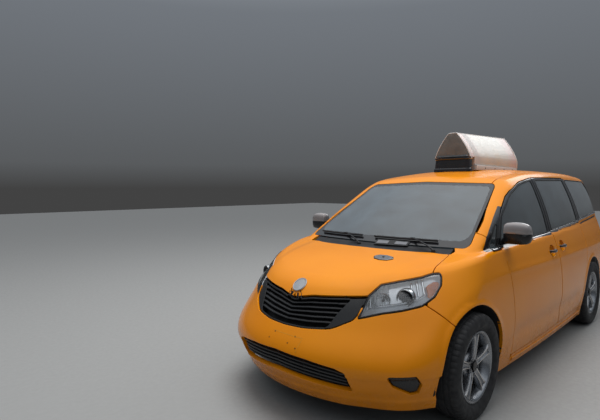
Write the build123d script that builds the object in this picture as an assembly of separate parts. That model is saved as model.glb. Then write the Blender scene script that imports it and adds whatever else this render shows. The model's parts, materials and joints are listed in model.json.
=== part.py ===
from build123d import *
import math
import os

os.makedirs("parts", exist_ok=True)

# Driving dimensions in millimetres, x forward, y to the left, z up, the floor at z 0
WHEELBASE = 3030
FRONT_AXLE_X = 1590
REAR_AXLE_X = FRONT_AXLE_X - WHEELBASE
WHEEL_Y = 860
TYRE_R = 357
TYRE_W = 235
AXLE_Z = TYRE_R
RIM_R = 216
ARCH_R = 408
GAP = 6
SKIN = 12
DOOR_LOW = 80
DOOR_HIGH = 38
WALL_LOW = 122
WALL_HIGH = 74
GLASS_IN = 3
GLASS_T = 5
KINGPIN_Y = 770
SPINDLE_R = 20
BORE_CLEARANCE = 0.05
MIN_CORNER_R = 125
PLATE_HOLE_Y = 89
PLATE_HOLE_Z = 540
PLATE_HOLE_R = 3.5
FAR = 1400

# Plan outline of the lower body at each height: nose reach and radius, front corner radius,
# half width, tail reach and radius, rear corner radius
LOWER = [
    # z, nose_x, nose_r, front_r, half_w, tail_x, tail_r, rear_r
    (170, 2385, 1250, 500, 930, -2450, 2400, 260),
    (450, 2542, 1150, 540, 985, -2550, 2400, 320),
    (660, 2440, 1050, 580, 991, -2530, 2300, 260),
    (880, 2292, 950, 620, 970, -2486, 2200, 200),
    (1260, 1700, 950, 500, 850, -2434, 2200, 160),
]
LOWER_SIDE = (-100, 35000)

# Plan outline of the glasshouse, with the same columns
HOUSE = [
    # z, nose_x, nose_r, front_r, half_w, tail_x, tail_r, rear_r
    (1040, 1545, 3400, 130, 896, -2405, 2400, 200),
    (1120, 1410, 3300, 130, 882, -2418, 2300, 200),
    (1400, 935, 2600, 140, 820, -2352, 2000, 210),
    (1620, 560, 2200, 150, 745, -2250, 1800, 220),
    (1800, 260, 2000, 150, 665, -2120, 1700, 220),
]
HOUSE_SIDE = (-500, 30000)

# Upper surface of the front end and of the roof along x: height on the centre line and
# the drop of the crown at the cutting width
CROWN_W = 1100
HOOD_TOP = [
    # x, z, drop
    (2620, 700, 80),
    (2400, 868, 80),
    (2200, 932, 78),
    (1900, 1015, 75),
    (1600, 1068, 60),
    (1380, 1095, 40),
    (1150, 1110, 20),
]
ROOF_TOP = [
    # x, z, drop
    (1700, 1300, 130),
    (900, 1555, 130),
    (600, 1626, 130),
    (300, 1685, 130),
    (-100, 1728, 130),
    (-700, 1750, 130),
    (-1400, 1742, 130),
    (-2100, 1700, 130),
    (-2600, 1655, 130),
]
ROOF_EDGE_R = 35

# Outlines in side view, x and z
FRONT_DOOR = [
    (945, 262), (985, 700), (1020, 985), (1018, 1085), (868, 1335), (600, 1503), (300, 1597),
    (-38, 1640), (-150, 1125), (-165, 700), (-172, 275),
]
FRONT_DOOR_R = [20, 200, 60, 30, 300, 400, 400, 12, 100, 300, 20]
SLIDING_DOOR = [
    (-45, 1641), (-158, 1125), (-173, 700), (-180, 275), (-955, 300), (-985, 455), (-1045, 605),
    (-1130, 725), (-1195, 860), (-1200, 1170), (-1020, 1648),
]
SLIDING_DOOR_R = [12, 100, 300, 20, 25, 60, 60, 60, 60, 100, 12]
DOOR_SLANT = 0.25
DOOR_DEPTH = [
    (1100, 100), (820, 100), (820, 1060), (785, 1150), (740, 1335), (690, 1480), (630, 1640), (615, 1700), (1100, 1700),
]
POST_X = (-235, -95)
# Room for the inner front corner of the front door as it swings: x, y and z limits
DOOR_SWING = (900, 1062, 760, 822, 1030, 1094)
SKIN_LINE = [(250, 955), (450, 985), (660, 990), (880, 970), (1085, 895), (1335, 840), (1500, 785), (1640, 735)]
FRONT_DOOR_WINDOW = [
    (958, 1108), (-95, 1138), (4, 1612), (300, 1573), (590, 1478), (838, 1322),
]
FRONT_DOOR_WINDOW_R = [20, 20, 25, 400, 300, 30]
SLIDING_DOOR_WINDOW = [(-215, 1150), (-1130, 1192), (-990, 1622), (-106, 1614)]
SLIDING_DOOR_WINDOW_R = [20, 30, 30, 25]
QUARTER_WINDOW = [(1168, 1090), (1050, 1090), (925, 1312)]
QUARTER_WINDOW_R = [8, 12, 12]
REAR_WINDOW = [(-1262, 1205), (-2215, 1252), (-2235, 1320), (-1945, 1612), (-1085, 1626)]
REAR_WINDOW_R = [30, 40, 60, 60, 25]
PILLAR_SEAM = [(1172, 1081), (1128, 1150), (1180, 1228)]
BUMPER_SPLIT = [(1858, 691), (1985, 838), (2750, 838), (2750, 60), (1700, 60), (1700, 500)]
REAR_BUMPER = [(-1760, 100), (-1760, 555), (-2200, 625), (-2750, 625), (-2750, 100)]

# Outlines in front view, y and z, and in corner view, (|y| - |x|) / sqrt 2 and z
HOOD_EDGE = [
    (-1300, 2000), (-1300, 860), (-505, 858), (-150, 832), (0, 803), (150, 832), (505, 858),
    (1300, 860), (1300, 2000),
]
GRILLE = [
    (-505, 852), (-150, 826), (0, 797), (150, 826), (505, 852), (467, 722), (350, 658), (170, 640),
    (0, 636), (-170, 640), (-350, 658), (-467, 722),
]
LOWER_GRILLE = [
    (-498, 424), (-440, 446), (-250, 470), (0, 484), (250, 470), (440, 446), (498, 424), (516, 301),
    (340, 318), (0, 346), (-340, 318), (-516, 301),
]
WINDSHIELD = [(-769, 1108), (769, 1108), (634, 1585), (0, 1606), (-634, 1585)]
TAILGATE = [(-600, 1800), (600, 1800), (640, 1640), (745, 1260), (735, 860), (690, 640), (-690, 640),
            (-735, 860), (-745, 1260), (-640, 1640)]
TAILGATE_WINDOW = [(-560, 1625), (560, 1625), (655, 1230), (-655, 1230)]
HEADLAMP = [
    (-1271, 727), (-1117, 762), (-990, 779), (-859, 803), (-764, 852), (-706, 915), (-690, 965),
    (-700, 990), (-750, 988), (-834, 968), (-990, 945), (-1103, 925), (-1190, 862),
]
FOG_COVER = [(-1122, 424), (-938, 424), (-895, 362), (-915, 305), (-960, 300), (-1075, 358)]
TAIL_LAMP = [(-1228, 880), (-1010, 905), (-925, 1010), (-940, 1110), (-1020, 1150), (-1212, 1150)]

# Outline of the hood in plan, x and y, front first
HOOD_PLAN = [(2700, 900), (1990, 800), (1930, 778), (1750, 724), (1500, 688), (1452, 680), (1600, 0)]
TAILGATE_TOP_X = -2120
ROOF_HALF_W = 600


def corner(nose, nose_r, side, side_r, corner_r, ahead):
    """Three points of the arc that blends the nose circle into the side circle."""
    reach_n, reach_s = nose_r - corner_r, side_r - corner_r
    span = math.dist(nose, side)
    along = (reach_n**2 - reach_s**2 + span**2) / (2 * span)
    off = math.sqrt(reach_n**2 - along**2)
    ux, uy = (side[0] - nose[0]) / span, (side[1] - nose[1]) / span
    centres = [(nose[0] + along * ux - s * off * uy, nose[1] + along * uy + s * off * ux) for s in (1, -1)]
    centre = Vector(*max(centres, key=lambda c: c[0] * ahead))
    start = Vector(*nose) + (centre - Vector(*nose)).normalized() * nose_r
    end = Vector(*side) + (centre - Vector(*side)).normalized() * side_r
    middle = centre + ((start + end) * 0.5 - centre).normalized() * corner_r
    return start, middle, end


def plan_wire(level, side, inset):
    """One section of the body: eight tangent arcs, moved in by the inset."""
    z, nose_x, nose_r, front_r, half_w, tail_x, tail_r, rear_r = level
    side_x, side_r = side
    nose_x, nose_r, front_r = nose_x - inset, nose_r - inset, front_r - inset
    tail_x, tail_r, rear_r = tail_x + inset, tail_r - inset, rear_r - inset
    front_r, rear_r = max(front_r, 15), max(rear_r, MIN_CORNER_R)
    half_w, side_r = half_w - inset, side_r - inset
    nose, tail, flank = (nose_x - nose_r, 0), (tail_x + tail_r, 0), (side_x, half_w - side_r)
    f1, f2, f3 = corner(nose, nose_r, flank, side_r, front_r, 1)
    r1, r2, r3 = corner(tail, tail_r, flank, side_r, rear_r, -1)

    def at(p, s=1):
        return (p.X, s * p.Y, z)

    arc = Edge.make_three_point_arc
    return Wire([
        arc(at(f1), (nose_x, 0, z), at(f1, -1)),
        arc(at(f1, -1), at(f2, -1), at(f3, -1)),
        arc(at(f3, -1), (side_x, -half_w, z), at(r3, -1)),
        arc(at(r3, -1), at(r2, -1), at(r1, -1)),
        arc(at(r1, -1), (tail_x, 0, z), at(r1)),
        arc(at(r1), at(r2), at(r3)),
        arc(at(r3), (side_x, half_w, z), at(f3)),
        arc(at(f3), at(f2), at(f1)),
    ])


def hull(levels, side, inset=0):
    return Solid.make_loft([plan_wire(level, side, inset) for level in levels])


def crowned(profile, inset=0):
    """A block under a crowned surface that is given by its centre line."""
    sections = []
    for x, top, drop in profile:
        z = top - inset
        low, high = (x, -CROWN_W, 0), (x, CROWN_W, 0)
        left, right = (x, -CROWN_W, z - drop), (x, CROWN_W, z - drop)
        sections.append(Wire([
            Edge.make_line(low, high),
            Edge.make_line(high, right),
            Edge.make_three_point_arc(right, (x, 0, z), left),
            Edge.make_line(left, low),
        ]))
    return Solid.make_loft(sections)


def largest(shape):
    return max(shape.solids(), key=lambda s: s.volume)


def outline(points, radius, grow=0):
    """A flat face inside the points, its corners rounded, then grown by an offset."""
    if radius == 0:
        face = Face(Wire.make_polygon([(a, b, 0) for a, b in points]))
    else:
        face = Face(FilletPolyline(*points, radius=radius, close=True).wires()[0])
    if grow:
        face = offset(face, amount=grow, kind=Kind.INTERSECTION).faces()[0]
    return face


def side_zone(points, near, far, radius=0, grow=0):
    """Everything behind an outline seen from the side, from y near to y far."""
    plane = Plane(origin=(0, near, 0), x_dir=(1, 0, 0), z_dir=(0, -1, 0))
    return Solid.extrude(plane * outline(points, radius, grow), Vector(0, far - near, 0))


def front_zone(points, near, far, radius=0, grow=0):
    plane = Plane(origin=(near, 0, 0), x_dir=(0, 1, 0), z_dir=(1, 0, 0))
    return Solid.extrude(plane * outline(points, radius, grow), Vector(far - near, 0, 0))


def plan_zone(points, near, far, radius=0, grow=0):
    plane = Plane(origin=(0, 0, near))
    return Solid.extrude(plane * outline(points, radius, grow), Vector(0, 0, far - near))


def corner_zone(points, end, side, near, far, radius=0, grow=0):
    """Everything behind an outline seen at 45 degrees on one corner of the body."""
    out = Vector(end, side, 0).normalized()
    across = Vector(-end, side, 0).normalized()
    plane = Plane(origin=out * near, x_dir=across, z_dir=across.cross(Vector(0, 0, 1)))
    return Solid.extrude(plane * outline(points, radius, grow), out * (far - near))


def skin_y(z):
    """Half width of the side at a height, for outlines that must land on the skin."""
    for (z0, y0), (z1, y1) in zip(SKIN_LINE, SKIN_LINE[1:]):
        if z <= z1:
            return y0 + (y1 - y0) * (z - z0) / (z1 - z0)
    return SKIN_LINE[-1][1]


def door_zone(points, radii, grow=0):
    """A left door's block, its shut faces slanted so that the rear edge swings clear."""
    near = 1050
    moved = [(x - DOOR_SLANT * (near - skin_y(z)), z) for x, z in points]
    plane = Plane(origin=(0, near, 0), x_dir=(1, 0, 0), z_dir=(0, -1, 0))
    block = Solid.extrude(plane * outline(moved, radii, grow), Vector(DOOR_SLANT, -1, 0) * 450)
    return block & front_zone(DOOR_DEPTH, -1300, 1300, 0, grow)


def box(x0, x1, y0, y1, z0, z1):
    shape = Box(x1 - x0, y1 - y0, z1 - z0)
    return Pos((x0 + x1) / 2, (y0 + y1) / 2, (z0 + z1) / 2) * shape


def tube(start, end, radius):
    start, end = Vector(*start), Vector(*end)
    plane = Plane(origin=start, z_dir=end - start)
    return Solid.make_cylinder(radius, (end - start).length, plane)


def barrel(radius, x, y0, y1, z=AXLE_Z):
    """A cylinder across the car."""
    return tube((x, y0, z), (x, y1, z), radius)


def write(name, *shapes):
    solids = [solid for shape in shapes for solid in shape.solids()]
    solids = [solid for solid in solids if solid.volume > 200]
    export_step(solids[0] if len(solids) == 1 else Compound(solids), f"parts/{name}.step")


def mirror_y(shape):
    return mirror(shape, about=Plane.XZ)


# Outer body and the hollow volumes inside it
def cabin_volume(inset_low, inset_high, inset_roof):
    """The lower body behind the firewall and the glasshouse, each moved in."""
    waist = [(-2700, 0), (1160, 0), (1160, 1092 - inset_roof), (-2700, 1200 - inset_roof)]
    lower = largest(hull(LOWER, LOWER_SIDE, inset_low) & side_zone(waist, -FAR, FAR))
    house = largest(hull(HOUSE, HOUSE_SIDE, inset_high) & crowned(ROOF_TOP, inset_roof))
    return lower, house


def front_volume(inset):
    return largest(hull(LOWER, LOWER_SIDE, inset) & crowned(HOOD_TOP, inset))


def outer_body():
    lower, house = cabin_volume(0, 0, 0)
    edges = [e for e in house.edges() if e.center().Z > 1500 and e.length > 300]
    house = house.fillet(ROOF_EDGE_R, edges)
    return largest(front_volume(0) + lower + house)


def core(inset_low, inset_high, inset_roof):
    lower, house = cabin_volume(inset_low, inset_high, inset_roof)
    return largest(lower + house)


BODY = outer_body()
DOOR_CORE = core(DOOR_LOW, DOOR_HIGH, 28)
WALL_CORE = core(WALL_LOW, WALL_HIGH, 28)
THIN_FRONT = front_volume(SKIN)
THIN_REAR = hull(LOWER, LOWER_SIDE, SKIN)

FRONT_CLIP = box(1000, 3000, -FAR, FAR, 0, 1300)
NOSE_SKIN = (BODY & FRONT_CLIP) - THIN_FRONT
ARCHES = {
    (end, side): barrel(ARCH_R, x, side * 440, side * FAR)
    for end, x in (("front", FRONT_AXLE_X), ("rear", REAR_AXLE_X)) for side in (1, -1)
}


# Front end
def hood_zone(grow=0):
    half = HOOD_PLAN[:-1]
    other = [(x, -y) for x, y in reversed(half)]
    plan = plan_zone(half + other, 500, 1400, 0, grow)
    return plan & front_zone(HOOD_EDGE, 1300, 2800, 0, grow)


def lamp_zone(side, grow=0):
    return corner_zone(HEADLAMP, 1, side, 1500, 2500, 0, grow)


def hood():
    shape = NOSE_SKIN & hood_zone()
    back = [(1300, -760), (1452, -680), (1560, -400), (1600, 0), (1560, 400), (1452, 680), (1300, 760)]
    shape = shape - plan_zone(back, 800, 1400)
    for side in (1, -1):
        shape = shape - lamp_zone(side, GAP)
    return largest(shape)


def front_bumper():
    shape = NOSE_SKIN & side_zone(BUMPER_SPLIT, -FAR, FAR)
    shape = shape - hood_zone(GAP) - front_zone(GRILLE, 1900, 2800, 0, 3)
    shape = shape - front_zone(LOWER_GRILLE, 1900, 2800, 10)
    for side in (1, -1):
        shape = shape - lamp_zone(side, 3) - corner_zone(FOG_COVER, 1, side, 1500, 2500, 12)
        shape = shape - ARCHES["front", side]
    for y in (-PLATE_HOLE_Y, PLATE_HOLE_Y):
        shape = shape - tube((2400, y, PLATE_HOLE_Z), (2700, y, PLATE_HOLE_Z), PLATE_HOLE_R)
    return largest(shape)


def fenders():
    edge = [(x + GAP, z) for x, z in FRONT_DOOR[:3]]
    seam = [(x + GAP, z - 3) for x, z in PILLAR_SEAM]
    edge = [(945 + GAP, 150)] + edge + [(1028, 1078)] + seam + [(2600, 1225), (2600, 150)]
    shape = (NOSE_SKIN & side_zone(edge, 560, FAR)) - WALL_CORE - windshield_zone()
    shape = shape - hood_zone(GAP) - lamp_zone(1, 3) - side_zone(BUMPER_SPLIT, -FAR, FAR, 0, 2)
    shape = shape - door_zone(FRONT_DOOR, FRONT_DOOR_R, GAP)
    shape = largest(shape - ARCHES["front", 1] - box(900, 1460, -700, 700, 900, 1400))
    return [shape, mirror_y(shape)]


def cowl():
    """The black grille panel under the windshield, with both wipers resting on it."""
    half = [(1452 - GAP, 674), (1560 - GAP, 400), (1600 - GAP, 0)]
    front = half + [(x, -y) for x, y in reversed(half[:-1])]
    back = [(1150, -674), (1150, 674)]
    skin = (BODY - crowned(HOOD_TOP, 28)) & plan_zone(front + back, 900, 1104)
    panel = largest(skin)
    for y, tip_x in ((560, 1428), (-120, 1404)):
        arm = tube((1470, y, 1084), (1420, y - 270, 1120), 7)
        blade = tube((1436, y - 20, 1118), (tip_x, y - 500, 1122), 6)
        post = tube((1470, y, 1044), (1470, y, 1090), 12)
        panel = panel + post + arm + blade
    return panel


def nose_layer(zone, outer, inner):
    """The part of a zone between two depths under the nose."""
    return (zone & hull(LOWER, LOWER_SIDE, outer)) - hull(LOWER, LOWER_SIDE, inner)


def grille_part(zone, bars, bar_h):
    """A dark backing that follows the nose, with level blades standing forward of it."""
    shape = largest(nose_layer(zone, 34, 42))
    for z in bars:
        blade = nose_layer(zone & box(1900, 2800, -700, 700, z, z + bar_h), 8, 36)
        shape = shape + blade
    return largest(shape)


def grilles():
    zone = front_zone(GRILLE, 1900, 2800) - lamp_zone(1, 3) - lamp_zone(-1, 3)
    upper = grille_part(zone, (655, 690, 725, 760, 795), 13)
    lower = grille_part(front_zone(LOWER_GRILLE, 1900, 2800, 10, -1), (330, 365, 400, 432), 9)
    zone = corner_zone(FOG_COVER, 1, 1, 1500, 2500, 12, -1)
    cover = largest(nose_layer(zone, 14, 30) - ARCHES["front", 1])
    return [upper, lower, cover, mirror_y(cover)]


def headlamps():
    inner = hull(LOWER, LOWER_SIDE, 95)
    lamp = largest((BODY & lamp_zone(1)) - inner)
    return [lamp, mirror_y(lamp)]


def windshield_zone(grow=0):
    return front_zone(WINDSHIELD, 300, 1800, 30, grow)


# Cabin shell
def roof_plan(grow=0):
    return box(-3000, 2000, -ROOF_HALF_W - grow, ROOF_HALF_W + grow, 1300, 1900)


def tailgate_zone(grow=0):
    gate = front_zone(TAILGATE, -2800, -2000, 0, grow)
    return gate & side_zone([(TAILGATE_TOP_X + grow, 1900), (TAILGATE_TOP_X + grow, 1500), (-2200 + grow, 1200),
                             (-2250 + grow, 500), (-2800, 500), (-2800, 1900)], -FAR, FAR)


def tail_lamp_zone(side, grow=0):
    return corner_zone(TAIL_LAMP, -1, side, 1500, 2600, 0, grow)


def door(points, radii, window, window_radii):
    """One left door, as thick as the real one, with its window cut through."""
    shape = BODY & door_zone(points, radii)
    shape = shape - DOOR_CORE
    shape = shape - side_zone(window, 500, FAR, window_radii)
    return largest(shape)


def handle(x, z, y):
    """A grab handle that stands off the door, joined to it at both ends."""
    bar = box(x - 75, x + 75, y + 14, y + 32, z - 13, z + 13)
    posts = box(x - 75, x - 55, y - 40, y + 20, z - 11, z + 11) + box(x + 55, x + 75, y - 40, y + 20, z - 11, z + 11)
    return bar + posts


def centre_pillar():
    """The post behind the shut line of the two doors, from the rocker to the roof rail."""
    sections = []
    # z, shift along x, outer y, inner y
    for z, shift, outer, inner in ((200, 0, 864, 846), (320, 0, 866, 846), (700, 0, 893, 852), (1070, 10, 812, 774),
                                   (1120, 14, 826, 780), (1640, 112, 678, 640), (1668, 118, 672, 634)):
        corners = [(POST_X[0] + shift, outer, z), (POST_X[1] + shift, outer, z),
                   (POST_X[1] + shift, inner, z), (POST_X[0] + shift, inner, z)]
        sections.append(Wire.make_polygon(corners))
    return Solid.make_loft(sections, ruled=True)


def body_side():
    """The left side of the cabin in one piece: pillars, rail, rocker and rear quarter."""
    shape = (BODY & box(-3000, 1600, 560, FAR, 0, 1900)) - WALL_CORE
    front = [(x + GAP, z) for x, z in FRONT_DOOR[:3]]
    front = [(920, 100), (945, 200)] + front + [(1028, 1081)] + PILLAR_SEAM + [(1700, 1228), (1700, 100)]
    shape = shape - side_zone(front, -FAR, FAR)
    shape = shape - door_zone(FRONT_DOOR, FRONT_DOOR_R, GAP) - door_zone(SLIDING_DOOR, SLIDING_DOOR_R, GAP)
    shape = shape + centre_pillar() - box(*DOOR_SWING)
    shape = shape - side_zone(REAR_WINDOW, 500, FAR, REAR_WINDOW_R)
    shape = shape - side_zone(QUARTER_WINDOW, 500, FAR, QUARTER_WINDOW_R)
    shape = shape - windshield_zone() - roof_plan() - tailgate_zone(GAP) - tail_lamp_zone(1, 2)
    shape = shape - side_zone(REAR_BUMPER, -FAR, FAR, 0, 2) - ARCHES["rear", 1]
    return largest(shape)


def roof_panel():
    shape = (BODY & roof_plan(-2)) - DOOR_CORE
    return largest(shape - windshield_zone(2) - tailgate_zone(GAP))


def glass_shell():
    outer = hull(HOUSE, HOUSE_SIDE, GLASS_IN) & crowned(ROOF_TOP, GLASS_IN)
    return largest(outer) - hull(HOUSE, HOUSE_SIDE, GLASS_IN + GLASS_T)


GLASS = glass_shell()


def pane(points, radii):
    return largest(GLASS & side_zone(points, 500, FAR, radii, -0.5))


def tailgate():
    shape = (BODY & tailgate_zone()) - DOOR_CORE
    return largest(shape - front_zone(TAILGATE_WINDOW, -2800, -2000, 40) - tail_lamp_zone(1, GAP) - tail_lamp_zone(-1, GAP))


def tailgate_glass():
    return largest(GLASS & front_zone(TAILGATE_WINDOW, -2800, -2000, 40, -0.5))


def rear_bumper():
    shape = (BODY & side_zone(REAR_BUMPER, -FAR, FAR)) - THIN_REAR
    return largest(shape - ARCHES["rear", 1] - ARCHES["rear", -1])


def tail_lamps():
    lamp = largest((BODY & tail_lamp_zone(1)) - DOOR_CORE)
    return [lamp, mirror_y(lamp)]


# Underbody and running gear
def arch_liner(x, side, y_in, y_out):
    """Half a drum over the wheel, closed on its inner side."""
    outer, inner = ARCH_R + 20, ARCH_R + 8
    drum = barrel(outer, x, side * y_in, side * y_out) - barrel(inner, x, side * (y_in + 12), side * (y_out + 5))
    return drum & box(x - 600, x + 600, -FAR, FAR, 250, 1000)


def floor_pan():
    floor = plan_zone([(1060, -850), (1060, 850), (-2330, 850), (-2330, -850)], 240, 300, 40)
    firewall = box(1060, 1100, -720, 720, 240, 994) + box(1060, 1100, -850, 850, 240, 700)
    sill = box(-2385, -2325, -560, 560, 240, 615)
    shape = floor + firewall + sill
    for side in (1, -1):
        wheel = barrel(ARCH_R + 14, REAR_AXLE_X, side * 590, side * FAR)
        shape = shape - wheel
        shape = shape + arch_liner(REAR_AXLE_X, side, 585, 850)
    shape = shape & hull(LOWER, LOWER_SIDE, WALL_LOW + 2)
    result = [largest(shape)]
    for side in (1, -1):
        liner = arch_liner(FRONT_AXLE_X, side, 470, 985) & THIN_FRONT
        liner = liner - tube((FRONT_AXLE_X, side * 640, 600), (FRONT_AXLE_X, side * 627, 900), 64)
        liner = largest(liner & hull(LOWER, LOWER_SIDE, SKIN + 4))
        result.append(largest(liner - lamp_zone(side, 4)))
    return result


def front_subframe():
    frame = box(1350, 1830, -400, 400, 190, 235) - box(1420, 1760, -320, 320, 100, 300)
    shape = frame + tube((1400, -330, 250), (1400, 330, 250), 25)
    result = []
    for side in (1, -1):
        arm = box(1545, 1635, min(side * 390, side * KINGPIN_Y), max(side * 390, side * KINGPIN_Y), 172, 197)
        ball = tube((FRONT_AXLE_X, side * KINGPIN_Y, 172), (FRONT_AXLE_X, side * KINGPIN_Y, 197), 45)
        shape = shape + arm + ball
        strut = tube((FRONT_AXLE_X, side * 640, 500), (FRONT_AXLE_X, side * 625, 905), 24)
        coil = tube((FRONT_AXLE_X, side * 635, 600), (FRONT_AXLE_X, side * 627, 860), 55)
        result.append(strut + coil)
    return [shape] + result


def knuckle():
    """Upright, spindle, steering arm and brake calliper of one front wheel."""
    upright = box(FRONT_AXLE_X - 38, FRONT_AXLE_X + 38, 748, 792, 204, 500)
    spindle = barrel(SPINDLE_R, FRONT_AXLE_X, 780, 895)
    strut_arm = box(FRONT_AXLE_X - 30, FRONT_AXLE_X + 30, 620, 760, 468, 493)
    tie_arm = box(FRONT_AXLE_X - 135, FRONT_AXLE_X - 20, 735, 765, 250, 272)
    calliper = box(FRONT_AXLE_X - 182, FRONT_AXLE_X - 95, 795, 862, 310, 420) - barrel(172, FRONT_AXLE_X, 810, 848)
    bracket = box(FRONT_AXLE_X - 140, FRONT_AXLE_X - 20, 780, 798, 330, 400)
    shape = upright + spindle + strut_arm + tie_arm + calliper + bracket
    return largest(shape)


def rear_axle():
    """Twist beam under the floor with trailing arms, uprights inside the arches and stub axles."""
    shape = tube((-1200, -620, 194), (-1200, 620, 194), 36)
    for side in (1, -1):
        y0, y1 = sorted((side * 604, side * 650))
        shape = shape + box(-1480, -900, y0, y1, 176, 216) + box(-1480, -1400, y0, y1, 176, 400)
        shape = shape + box(-960, -900, y0, y1, 176, 238) + barrel(38, REAR_AXLE_X, side * 610, side * 795)
        shape = shape + barrel(SPINDLE_R, REAR_AXLE_X, side * 780, side * 895)
    return largest(shape)


def wheel():
    """Alloy wheel with five spokes and its brake disc, its outer face towards +y."""
    rim = [(-98, 206), (-98, 228), (-90, 228), (-90, RIM_R), (90, RIM_R), (90, 228), (98, 228), (98, 214), (88, 206)]
    plane = Plane(origin=(0, 0, 0), x_dir=(0, 1, 0), z_dir=(1, 0, 0))
    ring = revolve(plane * Face(Wire.make_polygon([(a, b, 0) for a, b in rim])), Axis.Y, 360)
    hub = [(-45, 0), (-45, 160), (-22, 160), (-22, 85), (30, 85), (60, 70), (72, 40), (64, 34), (64, 0)]
    centre = revolve(plane * Face(Wire.make_polygon([(a, b, 0) for a, b in hub])), Axis.Y, 360)
    shape = ring + centre
    # Each spoke: radius from the axle, half width, inner and outer face
    stations = [(40, 34, 20, 66), (120, 25, 34, 74), (209, 33, 40, 84)]
    for i in range(5):
        sections = []
        for r, half, y0, y1 in stations:
            corners = [(-half, y0, r), (half, y0, r), (half * 0.62, y1, r), (-half * 0.62, y1, r)]
            sections.append(Wire.make_polygon(corners))
        spoke = Solid.make_loft(sections, ruled=True)
        shape = shape + spoke.rotate(Axis.Y, 72 * i)
    shape = shape - tube((0, -60, 0), (0, 40, 0), SPINDLE_R + BORE_CLEARANCE)
    for i in range(5):
        angle = math.radians(72 * i + 36)
        nut = (57 * math.cos(angle), 57 * math.sin(angle))
        shape = shape - tube((nut[0], 55, nut[1]), (nut[0], 90, nut[1]), 10)
    return largest(shape)


def tyre():
    """The plain tyre: its section's right half mirrored, then revolved."""
    half = TYRE_W / 2
    right = [(86, RIM_R + 1), (88, 232), (half - 4, 262), (half, 300), (half - 10, 335), (half - 32, 351), (0, TYRE_R)]
    points = right + [(-y, r) for y, r in reversed(right[:-1])]
    plane = Plane(origin=(0, 0, 0), x_dir=(0, 1, 0), z_dir=(1, 0, 0))
    return revolve(plane * outline(points, 0), Axis.Y, 360)


def engine():
    return box(1420, 1800, -330, 330, 300, 830)


def exhaust():
    pipe = tube((1330, -200, 128), (-2000, -200, 128), 22)
    silencer = box(-2300, -1980, -420, 60, 110, 225)
    outlet = tube((-2280, -350, 140), (-2500, -350, 136), 24)
    return pipe + silencer + outlet


def fuel_tank():
    return fillet(box(-950, -150, -60, 520, 165, 236).edges().filter_by(Axis.Z), 60)


# Cabin fittings
def dashboard():
    profile = [(1140, 1002), (1138, 1064), (1050, 1074), (880, 1062), (845, 1010), (850, 900), (960, 700),
               (1054, 660), (1055, 1002)]
    shape = side_zone(profile, -762, 762, 0) & hull(LOWER, LOWER_SIDE, WALL_LOW + 3)
    hood_over_dials = side_zone([(880, 1060), (1000, 1110), (1040, 1080)], 230, 520)
    return largest(shape + hood_over_dials)


def seat(x, y, width, floor_z=305):
    """Base, cushion, leaning back and head rest of one seat."""
    left, right = y - width / 2, y + width / 2
    base = box(x - 190, x + 180, left + 60, right - 60, floor_z, floor_z + 190)
    # x and z of each outline from the seat's middle and the floor, then the inset of its sides
    outlines = [
        ([(-250, 180), (250, 180), (262, 320), (-250, 290)], 45, 0),
        ([(-250, 200), (-120, 240), (-250, 850), (-360, 850)], 40, 15),
        ([(-378, 835), (-275, 835), (-300, 1020), (-395, 1020)], 35, width / 2 - 130),
    ]
    shape = base
    for points, radius, inset in outlines:
        points = [(x + a, floor_z + b) for a, b in points]
        shape = shape + side_zone(points, left + inset, right - inset, radius)
    return shape


def front_seats():
    return [seat(270, side * 400, 520) for side in (1, -1)]


def rear_seats():
    middle = [seat(-620, side * 370, 500) for side in (1, -1)]
    bench = side_zone([(-1860, 480), (-1385, 480), (-1370, 620), (-1860, 600)], -560, 560, 45)
    base = box(-1800, -1420, -500, 500, 305, 500)
    back = side_zone([(-1860, 490), (-1740, 560), (-1860, 1130), (-1950, 1130)], -555, 555, 40)
    heads = [side_zone([(-1955, 1120), (-1870, 1120), (-1890, 1290), (-1970, 1290)], y - 120, y + 120, 35)
             for y in (-330, 330)]
    return middle + [bench + base + back + heads[0] + heads[1]]


STEERING_CENTRE = Vector(720, 380, 985)
STEERING_AXIS = Vector(-0.90, 0, 0.436)


def steering_wheel():
    plane = Plane(origin=STEERING_CENTRE, x_dir=(0, 1, 0), z_dir=STEERING_AXIS)
    rim = plane * Solid.make_torus(180, 15)
    boss = plane * (Pos(0, 0, -20) * Cylinder(62, 50))
    shape = rim + boss
    for angle in (0, 180, 270):
        spoke = plane * (Rot(0, 0, angle) * (Pos(110, 0, -6) * Box(150, 44, 18)))
        shape = shape + spoke
    return largest(shape)


def mirror_housing():
    """Door mirror: a rounded shell on a foot at the front corner of the window."""
    shell = side_zone([(945, 1128), (1045, 1135), (1030, 1280), (950, 1292)], 905, 1085, 30)
    shell = shell & front_zone([(905, 1150), (940, 1122), (1070, 1130), (1085, 1180), (1077, 1278), (930, 1295)],
                               800, 1100, 22)
    foot = side_zone([(870, 1112), (975, 1108), (962, 1165), (888, 1170)], 830, 950, 10)
    foot = Pos(0, 1.5, 0) * largest(foot - BODY)
    return largest(shell + foot)


# Roof equipment
def roof_sign():
    face = front_zone([(-200, 1722), (200, 1722), (186, 1856), (-186, 1856)], -30, 90, 12)
    return largest(face - crowned(ROOF_TOP, -3))


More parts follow.
